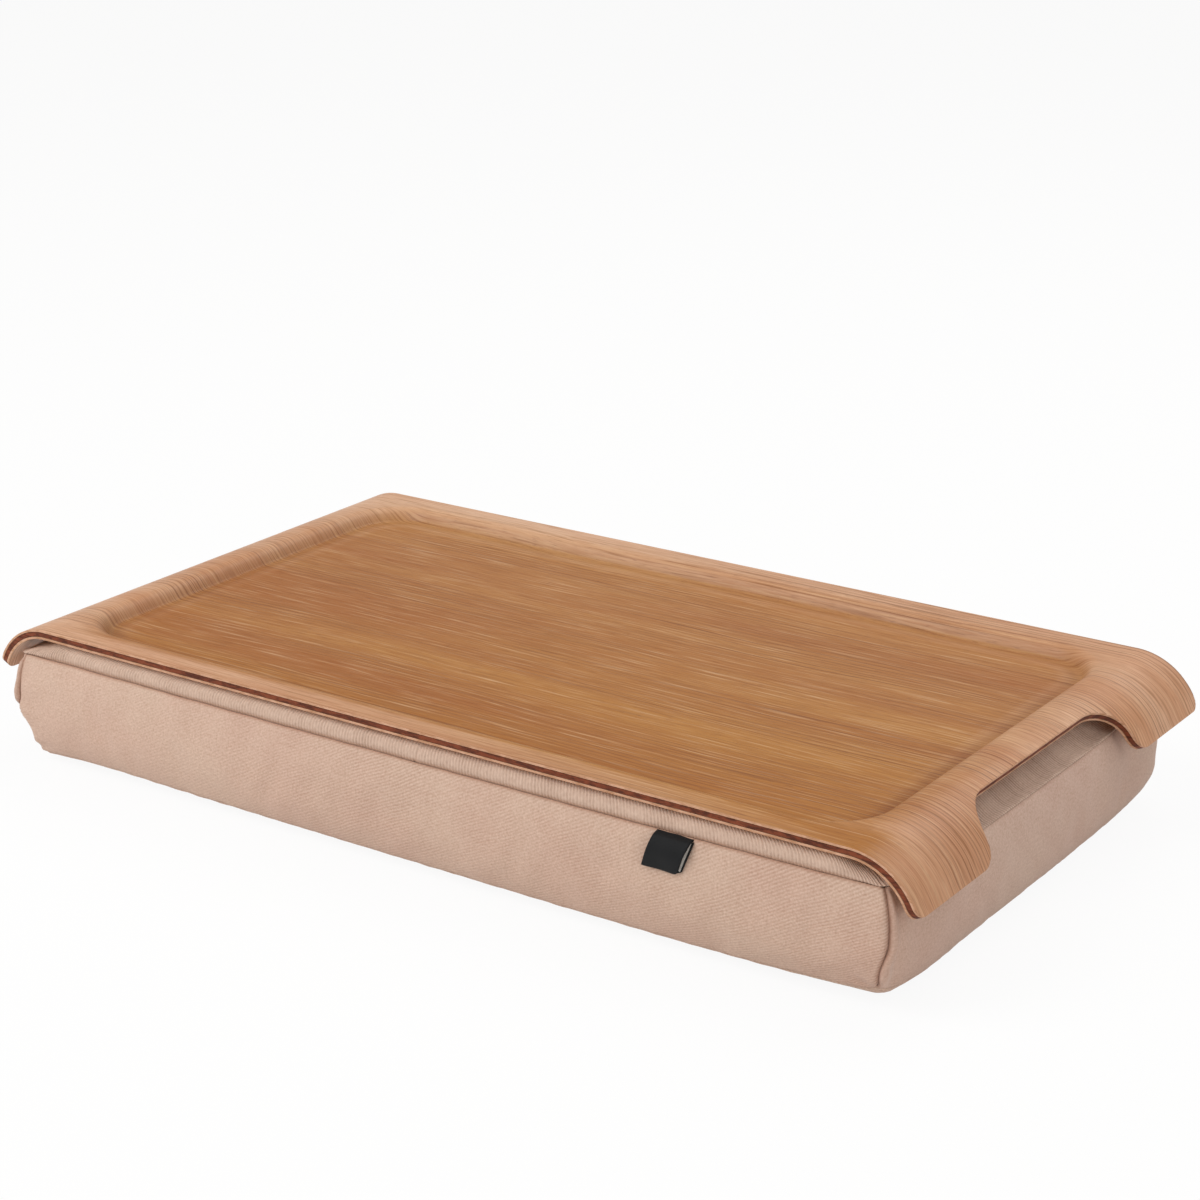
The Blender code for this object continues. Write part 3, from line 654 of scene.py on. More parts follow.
def ringPoint(ring, side, place):
    # place runs from -1 to 1 between the middles of the two corners of this side
    row = (ring["row"], side, place)
    side, place = cornerShift(side, place, ring["height"])
    halfAlong, halfOut = ring["halfX"], ring["halfY"]
    if side % 2:
        halfAlong, halfOut = halfOut, halfAlong
    corner = ring["corner"]
    straight = halfAlong - corner
    distance = abs(place) * (straight + corner * math.pi / 4)
    if distance <= straight:
        along, out = distance, halfOut + ring["crown"] * (1 - (distance / straight) ** 2)
    else:
        angle = (distance - straight) / corner
        along, out = straight + corner * math.sin(angle), halfOut - corner + corner * math.cos(angle)
    along = math.copysign(along, place)
    x, y = [(along, -out), (out, along), (-along, out), (-out, -along)][side]
    # The beads have settled towards the left, so that end stands out a little more and lies lower
    left = fade(-x, *slouch["left"])
    height = ring["height"] + ring["rise"] * place ** 6 * mix(1, slouch["leftRise"], left)
    point = Vector((x, y, mix(height, cushionTop(x, y), ring["lift"])))
    shown = 1 - ring["lift"]
    point.x -= slouch["reach"] * left * hump(point.z, *slouch["belly"]) * shown
    point.x -= slouch["topFull"] * left * hump(point.z, cushion["topSeam"], slouch["topSpread"]) * shown
    slack = fade(-x, *slouch["cutLeft"]) * fade(-y, *slouch["cutFront"]) * shown
    point.x += slouch["cut"] * slack * hump(point.z, *slouch["cutHeight"])
    full = hump(x, *slouch["fullRight"]) * hump(y, *slouch["fullFront"])
    full *= hump(point.z, *slouch["fullHeight"])
    point += Vector((slouch["full"], 0, 0)) * (full * shown)
    empty = fade(x, *slouch["pullRight"]) * fade(y, *slouch["pullBack"]) * fade(point.z, *slouch["pullUp"])
    point -= Vector(slouch["pullWay"]) * (slouch["backPull"] * empty * shown)
    sunk = fade(abs(x), *slouch["dropEnd"]) * fade(-abs(y), *slouch["dropMiddle"])
    point.z -= slouch["endDrop"] * sunk * (point.z / cushion["topSeam"]) ** 3
    if skin:
        point += skinMove(*row)
    return point


# The beads press the whole skin outwards: a coarse copy of it is simulated as cloth, and each panel
# follows the way its place on that skin moved

skin = {}
swell = dict(
    spacing=0.0036, pressure=7.0, frames=20, start=0.0006, mostMove=0.0012, loose=0.009,
    seed=0.0002, seedPitch=0.012, seamHold=0.55, flatBulge=0.3, seamRows=4,
    baseShare=0.15, baseFade=6,      # the edge that rests on the lap is pressed even
)


def skinColumns():
    columns = []
    for side in range(4):
        count = round(sideLength(side) / swell["spacing"])
        columns += [(side, -1 + 2 * step / count) for step in range(count)]
    return columns


def simulateSkin():
    low, middle, top = rowCounts["base"], rowCounts["side"], rowCounts["roll"]
    rings = [baseRing(step / low) for step in range(low)]
    rings += [sideRing(step / middle) for step in range(middle)]
    rings += [rollRing(step / top) for step in range(top + 1)]
    columns = skinColumns()
    bm, _, _ = clothGrid(rings, columns, True)
    pointOutward(bm, Vector((0, 0, 0.02)))
    home = bm.verts.layers.float_vector["home"]
    line = bm.verts.layers.int["row"]
    firsts = [index for index, column in enumerate(columns) if column[1] == -1]
    keys, goal, pull, moves = [], [], [], []
    for vert in bm.verts:
        column, row = round(vert[home].z) % len(columns), vert[line]
        toCorner = min(min(abs(column - first), len(columns) - abs(column - first)) for first in firsts)
        toSeam = min(abs(row - low), abs(row - low - middle))
        held = 1.0 if row <= 1 or row >= low + middle + top - 1 else 0.0
        seam = max(0.0, 1 - toCorner, 1 - toSeam)
        keys.append((row, column))
        goal.append(max(held, swell["seamHold"] * seam))
        pull.append(seam)
        onSide = smooth(toSeam / swell["seamRows"]) if low < row < low + middle else swell["flatBulge"]
        bulge = smooth(toCorner / swell["seamRows"]) * onSide
        pitch = swell["seedPitch"]
        uneven = swell["seed"] * ripple(vert.co.x / pitch, vert.co.z / pitch + vert.co.y / pitch, 8)
        moves.append(vert.normal * (uneven - swell["start"] * bulge) * (1 - held))
    before = [vert.co.copy() for vert in bm.verts]
    outward = [vert.normal.copy() for vert in bm.verts]
    for vert, move in zip(bm.verts, moves):
        vert.co += move
    mesh = bpy.data.meshes.new("skinStart")
    bm.to_mesh(mesh)
    bm.free()
    piece = bpy.data.objects.new("skinStart", mesh)
    scene = bpy.context.scene
    scene.collection.objects.link(piece)
    for name, weights in (("goal", goal), ("pull", pull)):
        group = piece.vertex_groups.new(name=name)
        for index, weight in enumerate(weights):
            group.add([index], weight, "REPLACE")
    cloth = piece.modifiers.new("beadPressure", "CLOTH")
    for name, value in dict(quality=6, mass=0.2, tension_stiffness=30, compression_stiffness=30,
                            shear_stiffness=12, bending_stiffness=0.8, use_pressure=True,
                            uniform_pressure_force=swell["pressure"], vertex_group_mass="goal",
                            pin_stiffness=3.0, vertex_group_shrink="pull", shrink_min=-swell["loose"],
                            shrink_max=0.0).items():
        setattr(cloth.settings, name, value)
    cloth.settings.effector_weights.gravity = 0
    cloth.collision_settings.use_collision = False
    cloth.point_cache.frame_end = swell["frames"]
    for number in range(1, swell["frames"] + 1):
        scene.frame_set(number)
    done = piece.evaluated_get(bpy.context.evaluated_depsgraph_get()).to_mesh()
    # The mean swelling of each row is already in the rings, so only what differs from it is kept
    grown = [0.0] * len(rings)
    for key, old, way, vert in zip(keys, before, outward, done.vertices):
        grown[key[0]] += (vert.co - old).dot(way) / len(columns)
    table = [[Vector() for _ in columns] for _ in rings]
    for (row, column), old, way, vert in zip(keys, before, outward, done.vertices):
        move = vert.co - old - way * grown[row]
        share = mix(swell["baseShare"], 1, smooth((row - low + 2) / swell["baseFade"]))
        table[row][column] = move * (share * swell["mostMove"] / (swell["mostMove"] + move.length))
    piece.evaluated_get(bpy.context.evaluated_depsgraph_get()).to_mesh_clear()
    scene.frame_set(1)
    bpy.data.objects.remove(piece)
    skin.update(moves=table, starts=firsts + [len(columns)])


def spline(share):
    # Weights of the four rows or columns round a place, for an even curve through the skin's moves
    return ((1 - share) ** 3 / 6, (3 * share ** 3 - 6 * share ** 2 + 4) / 6,
            (-3 * share ** 3 + 3 * share ** 2 + 3 * share + 1) / 6, share ** 3 / 6)


def skinMove(row, side, place):
    table, starts = skin["moves"], skin["starts"]
    column = mix(starts[side], starts[side + 1], (place + 1) / 2)
    low, left = math.floor(row), math.floor(column)
    move = Vector()
    for stepUp, weightUp in enumerate(spline(row - low)):
        line = table[min(max(low - 1 + stepUp, 0), len(table) - 1)]
        for stepAlong, weight in enumerate(spline(column - left)):
            move += line[(left - 1 + stepAlong) % len(line)] * (weightUp * weight)
    return move


def sideLength(side):
    half = cushion["bellyHalfDepth"] if side % 2 else cushion["bellyHalfLength"]
    return 2 * (half - cushion["corner"] + cushion["corner"] * math.pi / 4)


def seamSteps(length, spacing):
    # Shares of a length, close together near both ends, where the seams are
    close = [0, 0.0003, 0.0007, 0.0012, 0.0018, 0.0025]
    count = int((length - 2 * close[-1]) / spacing)
    middle = [mix(close[-1], length - close[-1], step / count) for step in range(1, count)]
    return [place / length for place in close + middle + [length - gap for gap in reversed(close)]]


def clothGrid(rings, columns, closed):
    # A grid bent over the rings. The weave is laid out in metres, and each vertex keeps its place
    segments = len(columns) if closed else len(columns) - 1
    bm = bmesh.new()
    bmesh.ops.create_grid(bm, x_segments=segments, y_segments=len(rings) - 1, size=1)
    table = [[ringPoint(ring, *column) for column in columns] for ring in rings]
    middle, centre = len(rings) // 2, len(columns) // 2
    across, up = [0.0], [0.0]
    for column in range(segments):
        step = table[middle][(column + 1) % len(columns)] - table[middle][column]
        across.append(across[-1] + step.length)
    for row in range(len(rings) - 1):
        up.append(up[-1] + (table[row + 1][centre] - table[row][centre]).length)
    home = bm.verts.layers.float_vector.new("home")      # metres across, metres up, column
    line = bm.verts.layers.int.new("row")
    for vert in bm.verts:
        column = round((vert.co.x + 1) / 2 * segments)
        row = round((vert.co.y + 1) / 2 * (len(rings) - 1))
        vert[home] = (across[column], up[row], column)
        vert[line] = row
        vert.co = table[row][column % len(columns)]
    weave = bm.loops.layers.uv.new("weave")
    for face in bm.faces:
        for loop in face.loops:
            loop[weave].uv = loop.vert[home].xy
    if closed:
        bmesh.ops.remove_doubles(bm, verts=bm.verts, dist=0.000001)
    bmesh.ops.recalc_face_normals(bm, faces=bm.faces[:])
    return bm, across[-1], up[-1]


def pointOutward(bm, centre):
    score = sum(face.normal.dot(face.calc_center_median() - centre) * face.calc_area() for face in bm.faces)
    if score < 0:
        bmesh.ops.reverse_faces(bm, faces=bm.faces[:])
    bm.normal_update()


sewn = dict(
    seamTuck=0.00045, seamWidth=0.0006, tintWidth=0.0008,   # the long seams are pulled in only slightly
    softSeam=0.3,                            # the end seams are slack and hardly show
    cornerTuck=0.0010, cornerWidth=0.0008, slackTuck=0.45,  # the corner seams sit deeper
    pucker=0.00016, puckerReach=0.005, puckerPitch=0.006, gatherPitch=0.05,
    swell=0.0004, swellPitch=0.070, swellReach=0.010,
    fold=0.0009, foldReach=0.010, foldPitch=0.009, foldLength=0.025, foldStart=0.004,
    ridge=0.0012, ridgePlace=(0.0022, 0.0015), ridgePitch=0.008, ridgeTop=0.004, ridgeBase=0.005,
    hollow=0.0012, hollowPlace=(0.0070, 0.0032), hollowBase=0.006,
    sag=0.0022, sagPlace=(0.0060, 0.0042), sagHeight=(0.0035, 0.0055), sagTop=0.0015,
    pinch=0.0012, pinchWidth=0.0018, pinchLow=0.0010, pinchHigh=0.0075, pinchRun=0.016,
    pinchPlace=(0.006, 0.005),
)


def panelRelief(side, u, v, width, height):
    # How far a point of a sewn panel stands out or in: seams, puckers, folds and the slack corners
    toSide, toTop, toBase = min(u, width - u), height - v, v
    hand = side * 7 + (3 if u > width / 2 else 0)
    soft = sewn["softSeam"] if side % 2 else 1
    out = -sewn["seamTuck"] * (soft * hump(toTop, 0, sewn["seamWidth"]) + hump(toBase, 0, sewn["seamWidth"]))
    slack = side == 0 and u < width / 2 or side == 3 and u > width / 2
    out -= sewn["cornerTuck"] * hump(toSide, 0, sewn["cornerWidth"]) * (sewn["slackTuck"] if slack else 1)
    gathers = 0.6 + 0.8 * ripple(u / sewn["gatherPitch"], 2, side)
    upper = gathers * ripple(u / sewn["puckerPitch"], 0, side) * math.exp(-toTop / sewn["puckerReach"])
    lower = ripple(u / sewn["puckerPitch"], 5, side) * math.exp(-toBase / sewn["puckerReach"])
    out += sewn["pucker"] * (upper + lower)
    fold = ripple(v / sewn["foldPitch"], toSide / sewn["foldLength"], hand)
    out += sewn["fold"] * fold * math.exp(-toSide / sewn["foldReach"]) * smooth(toSide / sewn["foldStart"])
    if side % 2:
        uneven = 1 + 0.5 * ripple(v / sewn["ridgePitch"], 0, hand + 1)
        ridge = hump(toSide, *sewn["ridgePlace"]) * smooth(toTop / sewn["ridgeTop"])
        out += sewn["ridge"] * uneven * ridge * smooth(toBase / sewn["ridgeBase"])
        out -= sewn["hollow"] * hump(toSide, *sewn["hollowPlace"]) * smooth(toBase / sewn["hollowBase"])
        sag = hump(toSide, *sewn["sagPlace"]) * hump(toTop, *sewn["sagHeight"])
        out -= sewn["sag"] * sag * smooth(toTop / sewn["sagTop"])
    else:
        across = mix(sewn["pinchLow"], sewn["pinchHigh"], toSide / sewn["pinchRun"])
        out -= sewn["pinch"] * hump(v, across, sewn["pinchWidth"]) * hump(toSide, *sewn["pinchPlace"])
    away = smooth(min(toSide, toTop, toBase) / sewn["swellReach"])
    return out + sewn["swell"] * ripple(u / sewn["swellPitch"], v / sewn["swellPitch"] * 2, side) * away


def sewnPanel(name, node, side, look):
    columns = [(side, 2 * share - 1) for share in seamSteps(sideLength(side), cushion["columnSpacing"])]
    tall = cushion["topSeam"] - cushion["baseSeam"]
    rings = [sideRing(share) for share in seamSteps(tall, cushion["rowSpacing"])]
    bm, width, height = clothGrid(rings, columns, False)
    pointOutward(bm, Vector((0, 0, cushion["topSeam"] / 2)))
    home = bm.verts.layers.float_vector["home"]
    seam = bm.verts.layers.float.new("seam")
    for vert in bm.verts:
        u, v = vert[home].xy
        top = hump(height - v, 0, sewn["tintWidth"]) * (sewn["softSeam"] if side % 2 else 1)
        vert[seam] = max(hump(min(u, width - u, v), 0, sewn["tintWidth"]), top)
    moves = [vert.normal * panelRelief(side, *vert[home].xy, width, height) for vert in bm.verts]
    for vert, move in zip(bm.verts, moves):
        vert.co += move
    piece = newPiece(name, bm, "cushion", [look])
    addCloth(piece)
    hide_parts(node)


def addCloth(piece):
    wall = piece.modifiers.new("clothThickness", "SOLIDIFY")
    wall.thickness = cushion["cloth"]
    wall.offset = -1


# The band's ends meet in a slanting joint near the middle of the front
joint = dict(low=0.0040, high=0.0080, rise=0.0070, depth=0.0004, width=0.0005, near=0.02)
band = dict(
    rollShares=(0, 0.03, 0.07, 0.13, 0.22, 0.33, 0.45, 0.58, 0.72, 0.86, 1),
    wallShares=(1, 0.8, 0.6, 0.4, 0.2, 0),
    # In the grips the rib valleys take more painted shade
    gripShow=0.6, gripStart=(0.180, 0.01), softStart=(0.199, 0.002),      # the grips show the ribs well
    ribUneven=0.012, ribEnd=0.004, ribFoot=0.0009, footShare=0.4,
)


def ribBand(look):
    steps = cushion["ribShape"]
    columns = []
    for side in range(4):
        count = round(sideLength(side) / cushion["ribPitch"]) * steps
        columns += [(side, -1 + 2 * step / count) for step in range(count)]
    rings = [rollRing(share) for share in band["rollShares"]]
    rings += [dishRing(wallRun(dishDepth) * share) for share in band["wallShares"]]
    bm, _, height = clothGrid(rings, columns, True)
    pointOutward(bm, Vector((0, 0, 0)))
    home = bm.verts.layers.float_vector["home"]
    wale = bm.verts.layers.float.new("wale")            # 1 on a rib, -1 in the valley beside it
    # climb sets how deep the painted shade in the rib valleys is
    climb = bm.verts.layers.float.new("climb")          # 0 at the seam, 1 at the dish, more in the grips
    seam = bm.verts.layers.float.new("seam")
    moves = []
    for vert in bm.verts:
        u, v, column = vert[home]
        end = abs(vert.co.x)
        vert[climb] = v / height + band["gripShow"] * fade(end, *band["gripStart"])
        soft = mix(1, sewn["softSeam"], fade(end, *band["softStart"]))
        vert[seam] = soft * hump(v, 0, sewn["tintWidth"])
        vert[wale] = math.cos(2 * math.pi * column / steps)
        rib = vert[wale] * (0.8 + 0.3 * ripple(u / band["ribUneven"], 0, 4))
        rib *= smooth((height - v) / band["ribEnd"]) * mix(band["footShare"], 1, smooth(v / band["ribFoot"]))
        out = cushion["ribHeight"] * rib - soft * sewn["seamTuck"] * hump(v, 0, sewn["seamWidth"])
        if vert.co.y < 0 and end < joint["near"]:
            line = mix(joint["low"], joint["high"], v / joint["rise"])
            out -= joint["depth"] * hump(vert.co.x, line, joint["width"])
        moves.append(vert.normal * out)
    for vert, move in zip(bm.verts, moves):
        vert.co += move
    piece = newPiece("ribbedBand", bm, "cushion", [look])
    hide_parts("rib_band")


base = dict(columnSpacing=0.003, rows=14, edgeShares=(0.955, 0.975, 0.99, 1), flatReach=0.004,
            cornerWidth=0.002, cornerRise=0.0025)


def basePiece(look):
    columns = []
    for side in range(4):
        shares = seamSteps(sideLength(side), base["columnSpacing"])[:-1]
        columns += [(side, 2 * share - 1) for share in shares]
    shares = [step / base["rows"] for step in range(base["rows"])] + list(base["edgeShares"])
    bm, _, height = clothGrid([baseRing(share) for share in shares], columns, True)
    home = bm.verts.layers.float_vector["home"]
    weave = bm.loops.layers.uv["weave"]
    inner = [edge for edge in bm.edges if edge.is_boundary
             and all(vert[home][1] < 1e-6 for vert in edge.verts)]
    bmesh.ops.holes_fill(bm, edges=inner)
    for face in bm.faces:
        for loop in face.loops:
            loop[weave].uv = (loop.vert.co.x, loop.vert.co.y)
    pointOutward(bm, Vector((0, 0, 0.03)))
    moves = []
    for vert in bm.verts:
        u, v, column = vert[home]
        out = -sewn["seamTuck"] * hump(height - v, 0, sewn["seamWidth"])
        gathers = ripple(u / sewn["puckerPitch"], 9, 4)
        out += sewn["pucker"] * gathers * math.exp((v - height) / sewn["puckerReach"])
        side, place = columns[round(column) % len(columns)]
        toCorner = (1 - abs(place)) * sideLength(side) / 2
        out -= sewn["cornerTuck"] * hump(toCorner, 0, base["cornerWidth"]) * hump(
            height - v, 0, base["cornerRise"])
        moves.append(vert.normal * out * smooth(v / base["flatReach"]))
    for vert, move in zip(bm.verts, moves):
        vert.co += move
    piece = newPiece("basePanel", bm, "cushion", [look], sharp=40)
    addCloth(piece)
    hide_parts("base_panel")


dish = dict(cornerSteps=12, rims=3, rimWidth=0.0008)


def dishPiece(look):
    halfX, halfY = recessHalf()
    bm = bmesh.new()
    outline = addLoop(bm, rectangle(halfX, halfY, tray["recessCorner"], dish["cornerSteps"]))
    bmesh.ops.holes_fill(bm, edges=outline)
    for _ in range(dish["rims"]):
        bm.faces.ensure_lookup_table()
        bmesh.ops.inset_region(bm, faces=bm.faces[-1:], thickness=dish["rimWidth"], depth=0)
    weave = bm.loops.layers.uv.new("weave")
    for vert in bm.verts:
        vert.co.z = dishFloor
    bmesh.ops.recalc_face_normals(bm, faces=bm.faces[:])
    if sum(face.normal.z for face in bm.faces) < 0:
        bmesh.ops.reverse_faces(bm, faces=bm.faces[:])
    for face in bm.faces:
        for corner in face.loops:
            corner[weave].uv = (corner.vert.co.x, corner.vert.co.y)
    piece = newPiece("dishPanel", bm, "cushion", [look])
    addCloth(piece)
    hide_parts("top_panel")


label = dict(
    width=0.0155, drop=0.0138, lean=0.0044, place=0.1191, ribbon=0.00035, bulge=0.0017,
    behind=0.0013, fold=0.00045, above=0.00035, tuck=0.0014, sewn=0.10, rows=64, columns=20,
    cutCorner=0.0012, cutStart=(0.55, 0.45), selvedge=0.00085,
    black=("#0B0C0D", "#17181A"), reverse=("#C9C3BC", "#ECE8E2"),
    threadsPerMetre=(3200.0, 3200.0, 5200.0),      # coarser than the ribbon's own, so that they show
)


def labelLook(name, dark, pale):
    # Polyester ribbon, woven so finely that only a faint thread shows
    look, tree, shader = newMaterial(name, {"Roughness": 0.7, "Specular IOR Level": 0.25})
    place = addNode(tree, "ShaderNodeTexCoord", {}, "Object")
    threads = addNode(tree, "ShaderNodeMapping", {"Scale": label["threadsPerMetre"], "Vector": place})
    weave = addNode(tree, "ShaderNodeTexNoise", {"Scale": 1.0, "Detail": 1.0, "Vector": threads})
    body = addNode(tree, "ShaderNodeValToRGB", {"stops": ((0.35, dark), (0.65, pale)), "Fac": weave})
    finishLook(tree, shader, body, weave, 0.5, 0.0001)
    return look


def panelOut(x, z):
    ring = sideRing((z - cushion["baseSeam"]) / (cushion["topSeam"] - cushion["baseSeam"]))
    half = ring["halfX"] - ring["corner"] + ring["corner"] * math.pi / 4
    return -ringPoint(ring, 0, x / half).y


def wovenLabel():
    # A ribbon folded in two: the front half bows out from the seam and the back half shows beside it
    bm = bmesh.new()
    bmesh.ops.create_grid(bm, x_segments=label["columns"], y_segments=label["rows"], size=1)
    bmesh.ops.recalc_face_normals(bm, faces=bm.faces[:])
    turn = label["fold"] / label["drop"]
    selvedge = 1 - 2 * label["selvedge"] / label["width"]
    for face in bm.faces:
        face.material_index = 2 if abs(face.calc_center_median().x) > selvedge else 0
    for vert in bm.verts:
        wide, walk = vert.co.x * label["width"] / 2, 1 - vert.co.y      # walk: 0 front top, 2 back top
        edge = fade(vert.co.x, *label["cutStart"])
        drop = label["drop"] - label["cutCorner"] * edge ** 2
        down = 1 - abs(walk - 1)
        if abs(walk - 1) < turn:
            angle = (walk - 1) / turn * math.pi / 2
            share = 1 - turn + turn * math.cos(angle)
            out = label["above"] + label["fold"] * (1 - math.sin(angle))
        elif walk < 1:
            share, free = down, smooth(down / label["sewn"])
            out = label["above"] + 2 * label["fold"] * free
            out += label["bulge"] * math.sin(math.pi * share ** 0.75) ** 1.3
            out -= label["tuck"] * (1 - free)      # this end is sewn into the seam
        else:
            share, out = mix(label["sewn"], 1, down), label["above"]
        behind = label["behind"] * smooth((walk - 1 + turn) / (2 * turn)) * (1 - 0.5 * (1 - share))
        x = label["place"] + wide - label["lean"] * share ** 1.2 + behind
        z = cushion["topSeam"] - share * drop
        vert.co = (x, -panelOut(x, z) - out, z)
    bmesh.ops.recalc_face_normals(bm, faces=bm.faces[:])
    if max(bm.faces, key=lambda face: -face.calc_center_median().y).normal.y > 0:
        bmesh.ops.reverse_faces(bm, faces=bm.faces[:])
    black = labelLook("blackWovenRibbon", *label["black"])
    reverse = labelLook("ribbonReverse", *label["reverse"])
    piece = newPiece("foldedLabel", bm, "cushion", [black, reverse, black, black])
    wall = piece.modifiers.new("ribbonThickness", "SOLIDIFY")
    wall.thickness = label["ribbon"]
    wall.offset = -1
    wall.material_offset = 1
    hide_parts("woven_label")


lining = dict(baseRows=6, sideRows=12, rollRows=5, wallShares=(0.9, 0.5, 0), sideColumns=80,
              drawnFrom=(0.008, 0.010), bagInward=0.0036, beadsInward=0.0044)


def liningPiece(name, node, inward, look):
    # The bag and the beads inside it follow the simulated skin, a little further in
    low, middle, top = lining["baseRows"], lining["sideRows"], lining["rollRows"]
    rings = [baseRing(step / low) for step in range(low)]
    rings += [sideRing(step / middle) for step in range(middle)]
    rings += [rollRing(step / top) for step in range(top + 1)]
    rings += [dishRing(wallRun(dishDepth) * share) for share in lining["wallShares"]]
    half = lining["sideColumns"] / 2
    columns = [(side, -1 + step / half) for side in range(4) for step in range(lining["sideColumns"])]
    bm, _, _ = clothGrid(rings, columns, True)
    bmesh.ops.holes_fill(bm, edges=[edge for edge in bm.edges if edge.is_boundary])
    bmesh.ops.recalc_face_normals(bm, faces=bm.faces[:])
    pointOutward(bm, Vector((0, 0, 0.025)))
    for vert in bm.verts:
        # It is drawn in at the sides, but not at the dish, whose wall slopes the other way
        edge = fade(outsideRecess(vert.co.x, vert.co.y), *lining["drawnFrom"])
        vert.co.x *= 1 - edge * inward / cushion["bellyHalfLength"]
        vert.co.y *= 1 - edge * inward / cushion["bellyHalfDepth"]
        vert.co.z = inward + vert.co.z * (1 - 2 * inward / cushion["topSeam"])
    piece = newPiece(name, bm, "cushion", [look])
    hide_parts(node)


# Two shades, the size of a speck in metres and the roughness. Thin lining cloth is woven and dull,
# moulded polystyrene beads are white with a faint shine, nylon hooks catch some light and brushed
# nylon loops take it in
plain = dict(
    lining=("#E6E2D8", "#D2CDC2", 0.0008, 0.9), beads=("#F4F4F2", "#D8D8D6", 0.003, 0.7),
    hook=("#2B2B2C", "#101010", 0.0012, 0.6), loop=("#333334", "#171717", 0.0009, 0.95),
)


def plainLook(name, pale, dark, speck, roughness):
    look, tree, shader = newMaterial(name, {"Roughness": roughness})
    place = addNode(tree, "ShaderNodeTexCoord", {}, "Object")
    speckle = addNode(tree, "ShaderNodeTexNoise", {"Scale": 1 / speck, "Detail": 2.0, "Vector": place})
    body = addNode(tree, "ShaderNodeValToRGB", {"stops": ((0.35, dark), (0.65, pale)), "Fac": speckle})
    finishLook(tree, shader, body, speckle, 0.5, 0.0003)
    return look


def makeCushion():
    simulateSkin()
    print("skin swollen")
    front = clothLook("brushedTwillFront", **cloths["front"])
    end = clothLook("brushedTwillEnd", **cloths["end"])
    sewnPanel("frontPanel", "front_panel", 0, front)
    sewnPanel("rightEndPanel", "right_end_panel", 1, end)
    sewnPanel("backPanel", "back_panel", 2, front)
    sewnPanel("leftEndPanel", "left_end_panel", 3, end)
    print("panels sewn")
    ribBand(ribLook())
    basePiece(front)
    dishPiece(front)
    wovenLabel()
    bag = plainLook("thinLiningCloth", *plain["lining"])
    beads = plainLook("polystyreneBeads", *plain["beads"])
    liningPiece("innerBag", "inner_bag", lining["bagInward"], bag)
    liningPiece("beadFill", "bead_fill", lining["beadsInward"], beads)
    print("bag filled")


def dressNodes():
    hook = plainLook("blackHookTape", *plain["hook"])
    loop = plainLook("blackLoopTape", *plain["loop"])
    for name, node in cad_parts.items():
        if "_tape_" in name:
            node.data.materials.clear()
            node.data.materials.append(hook if name.startswith("hook") else loop)


studio = dict(
    floorSize=4.0, floorDrop=0.0002, floorColour="#F2F1EF", floorWhite=0.92,
    air="#F4F2EF", airStrength=0.42, shineWhite=0.12, aim=(0, 0, 0.03),
    # Place, width in metres and power in watts
    lamps=dict(keySoftbox=((-0.9, -1.3, 1.5), 1.4, 28), topSoftbox=((0.3, 0.75, 1.3), 1.2, 8),
               rightFill=((1.7, -0.3, 0.9), 1.2, 5.0)),
)


def makeFloor():
    # Painted board, matt. Seen directly it is nearly white, and it keeps the shadow
    bm = bmesh.new()
    bmesh.ops.create_grid(bm, x_segments=1, y_segments=1, size=studio["floorSize"])
    bmesh.ops.translate(bm, vec=(0, 0, -studio["floorDrop"]), verts=bm.verts)
    look, tree, shader = newMaterial("paleStudioFloor", {"Roughness": 0.9,
                                                         "Base Color": studio["floorColour"]})
    rays = addNode(tree, "ShaderNodeLightPath", {}).node.outputs
    direct = addNode(tree, "ShaderNodeMath", {"operation": "MAXIMUM", 0: rays["Is Camera Ray"],
                                              1: rays["Is Glossy Ray"]})
    share = addNode(tree, "ShaderNodeMath", {"operation": "MULTIPLY", 0: direct, 1: studio["floorWhite"]})
    glow = addNode(tree, "ShaderNodeEmission", {"Color": "#FFFFFF", "Strength": 1.0})
    white = addNode(tree, "ShaderNodeMixShader", {0: share, 1: shader.outputs[0], 2: glow})
    tree.links.new(white, tree.nodes["Material Output"].inputs["Surface"])
    mesh = bpy.data.meshes.new("floor")
    bm.to_mesh(mesh)
    bm.free()
    mesh.materials.append(look)
    floor = bpy.data.objects.new("floor", mesh)
    bpy.context.scene.collection.objects.link(floor)


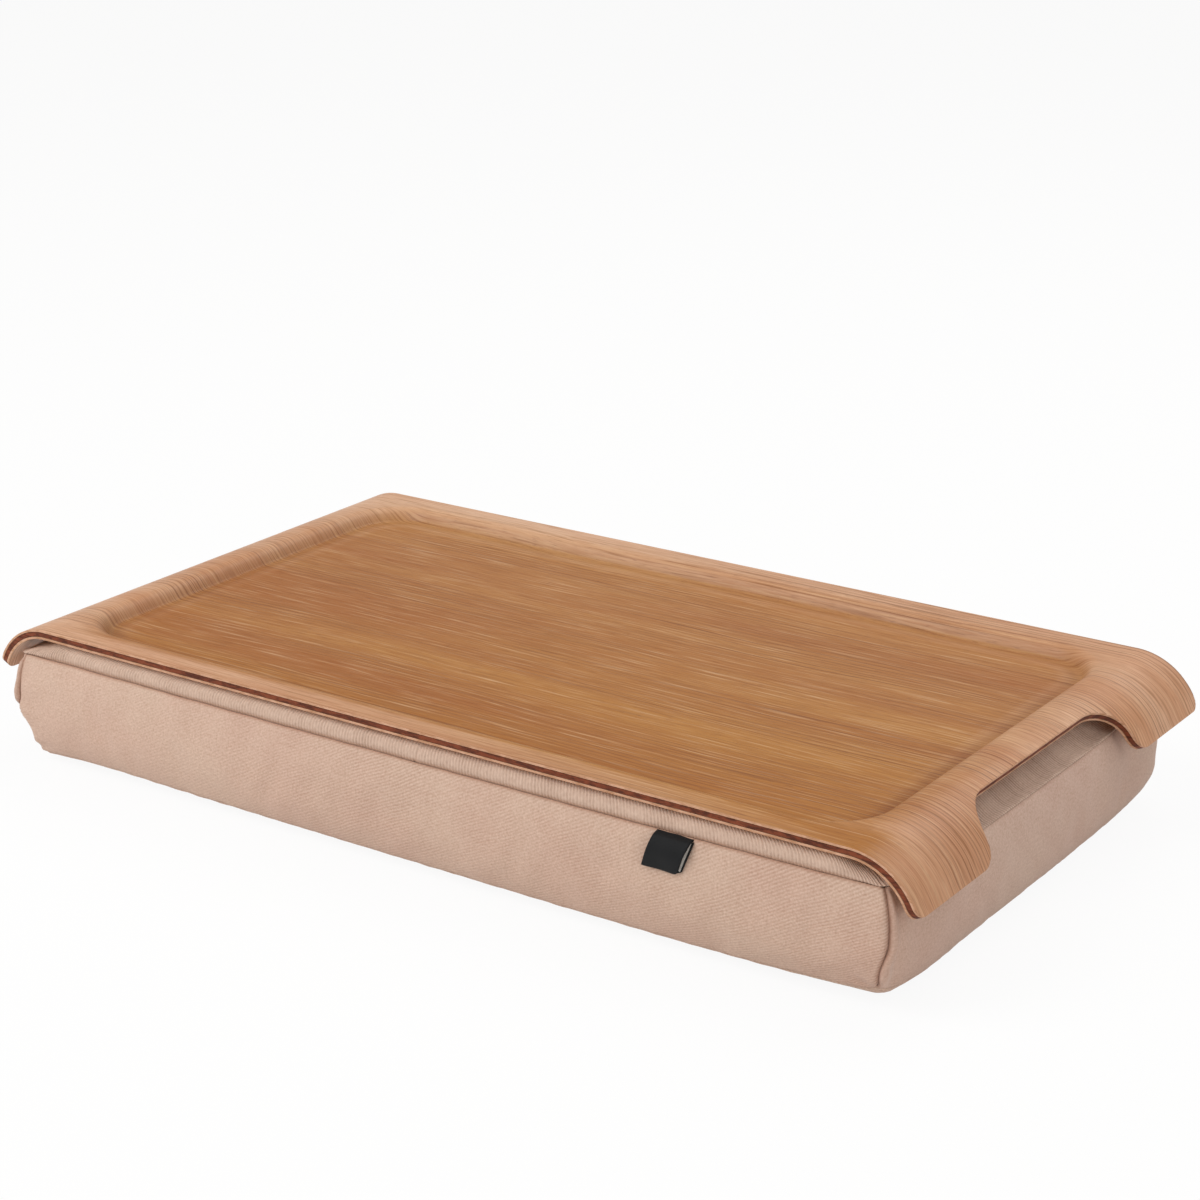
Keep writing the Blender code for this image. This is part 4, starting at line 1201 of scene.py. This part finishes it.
def makeWorld():
    world = bpy.data.worlds.new("studio")
    world.use_nodes = True
    bpy.context.scene.world = world
    tree = world.node_tree
    back = tree.nodes["Background"]
    back.inputs["Color"].default_value = linearColour(studio["air"])
    back.inputs["Strength"].default_value = studio["airStrength"]
    rays = addNode(tree, "ShaderNodeLightPath", {}).node.outputs
    seen = addNode(tree, "ShaderNodeMath", {"operation": "MAXIMUM", 0: rays["Is Camera Ray"],
                                            1: rays["Is Transmission Ray"]})
    shine = addNode(tree, "ShaderNodeMath", {"operation": "MULTIPLY", 0: rays["Is Glossy Ray"],
                                             1: studio["shineWhite"]})
    direct = addNode(tree, "ShaderNodeMath", {"operation": "MAXIMUM", 0: seen, 1: shine})
    white = addNode(tree, "ShaderNodeBackground", {"Color": "#FFFFFF", "Strength": 1.0})
    both = addNode(tree, "ShaderNodeMixShader", {0: direct, 1: back.outputs[0], 2: white})
    tree.links.new(both, tree.nodes["World Output"].inputs["Surface"])


def makeLamps():
    for name, (place, size, power) in studio["lamps"].items():
        light = bpy.data.lights.new(name, "AREA")
        light.size = size
        light.energy = power
        lamp = bpy.data.objects.new(name, light)
        lamp.location = place
        lamp.rotation_euler = (Vector(studio["aim"]) - Vector(place)).to_track_quat("-Z", "Y").to_euler()
        bpy.context.scene.collection.objects.link(lamp)


view = dict(place=(0.58640, -0.83085, 0.43206), lens=80.88,
            azimuth=math.radians(34.850), tilt=math.radians(70.737), roll=math.radians(-0.280))


def makeCamera():
    data = bpy.data.cameras.new("camera")
    data.lens, data.sensor_width = view["lens"], 36
    camera = bpy.data.objects.new("camera", data)
    camera.location = view["place"]
    turn = Euler((0, 0, view["azimuth"])).to_matrix() @ Euler((view["tilt"], 0, 0)).to_matrix()
    camera.rotation_euler = (turn @ Euler((0, 0, view["roll"])).to_matrix()).to_euler()
    bpy.context.scene.collection.objects.link(camera)
    bpy.context.scene.camera = camera


bpy.context.scene.view_settings.view_transform = "Standard"
makeCamera()
makeFloor()
makeWorld()
makeLamps()
print("studio")
print("tray")
makeTray()
print("cushion")
makeCushion()
dressNodes()
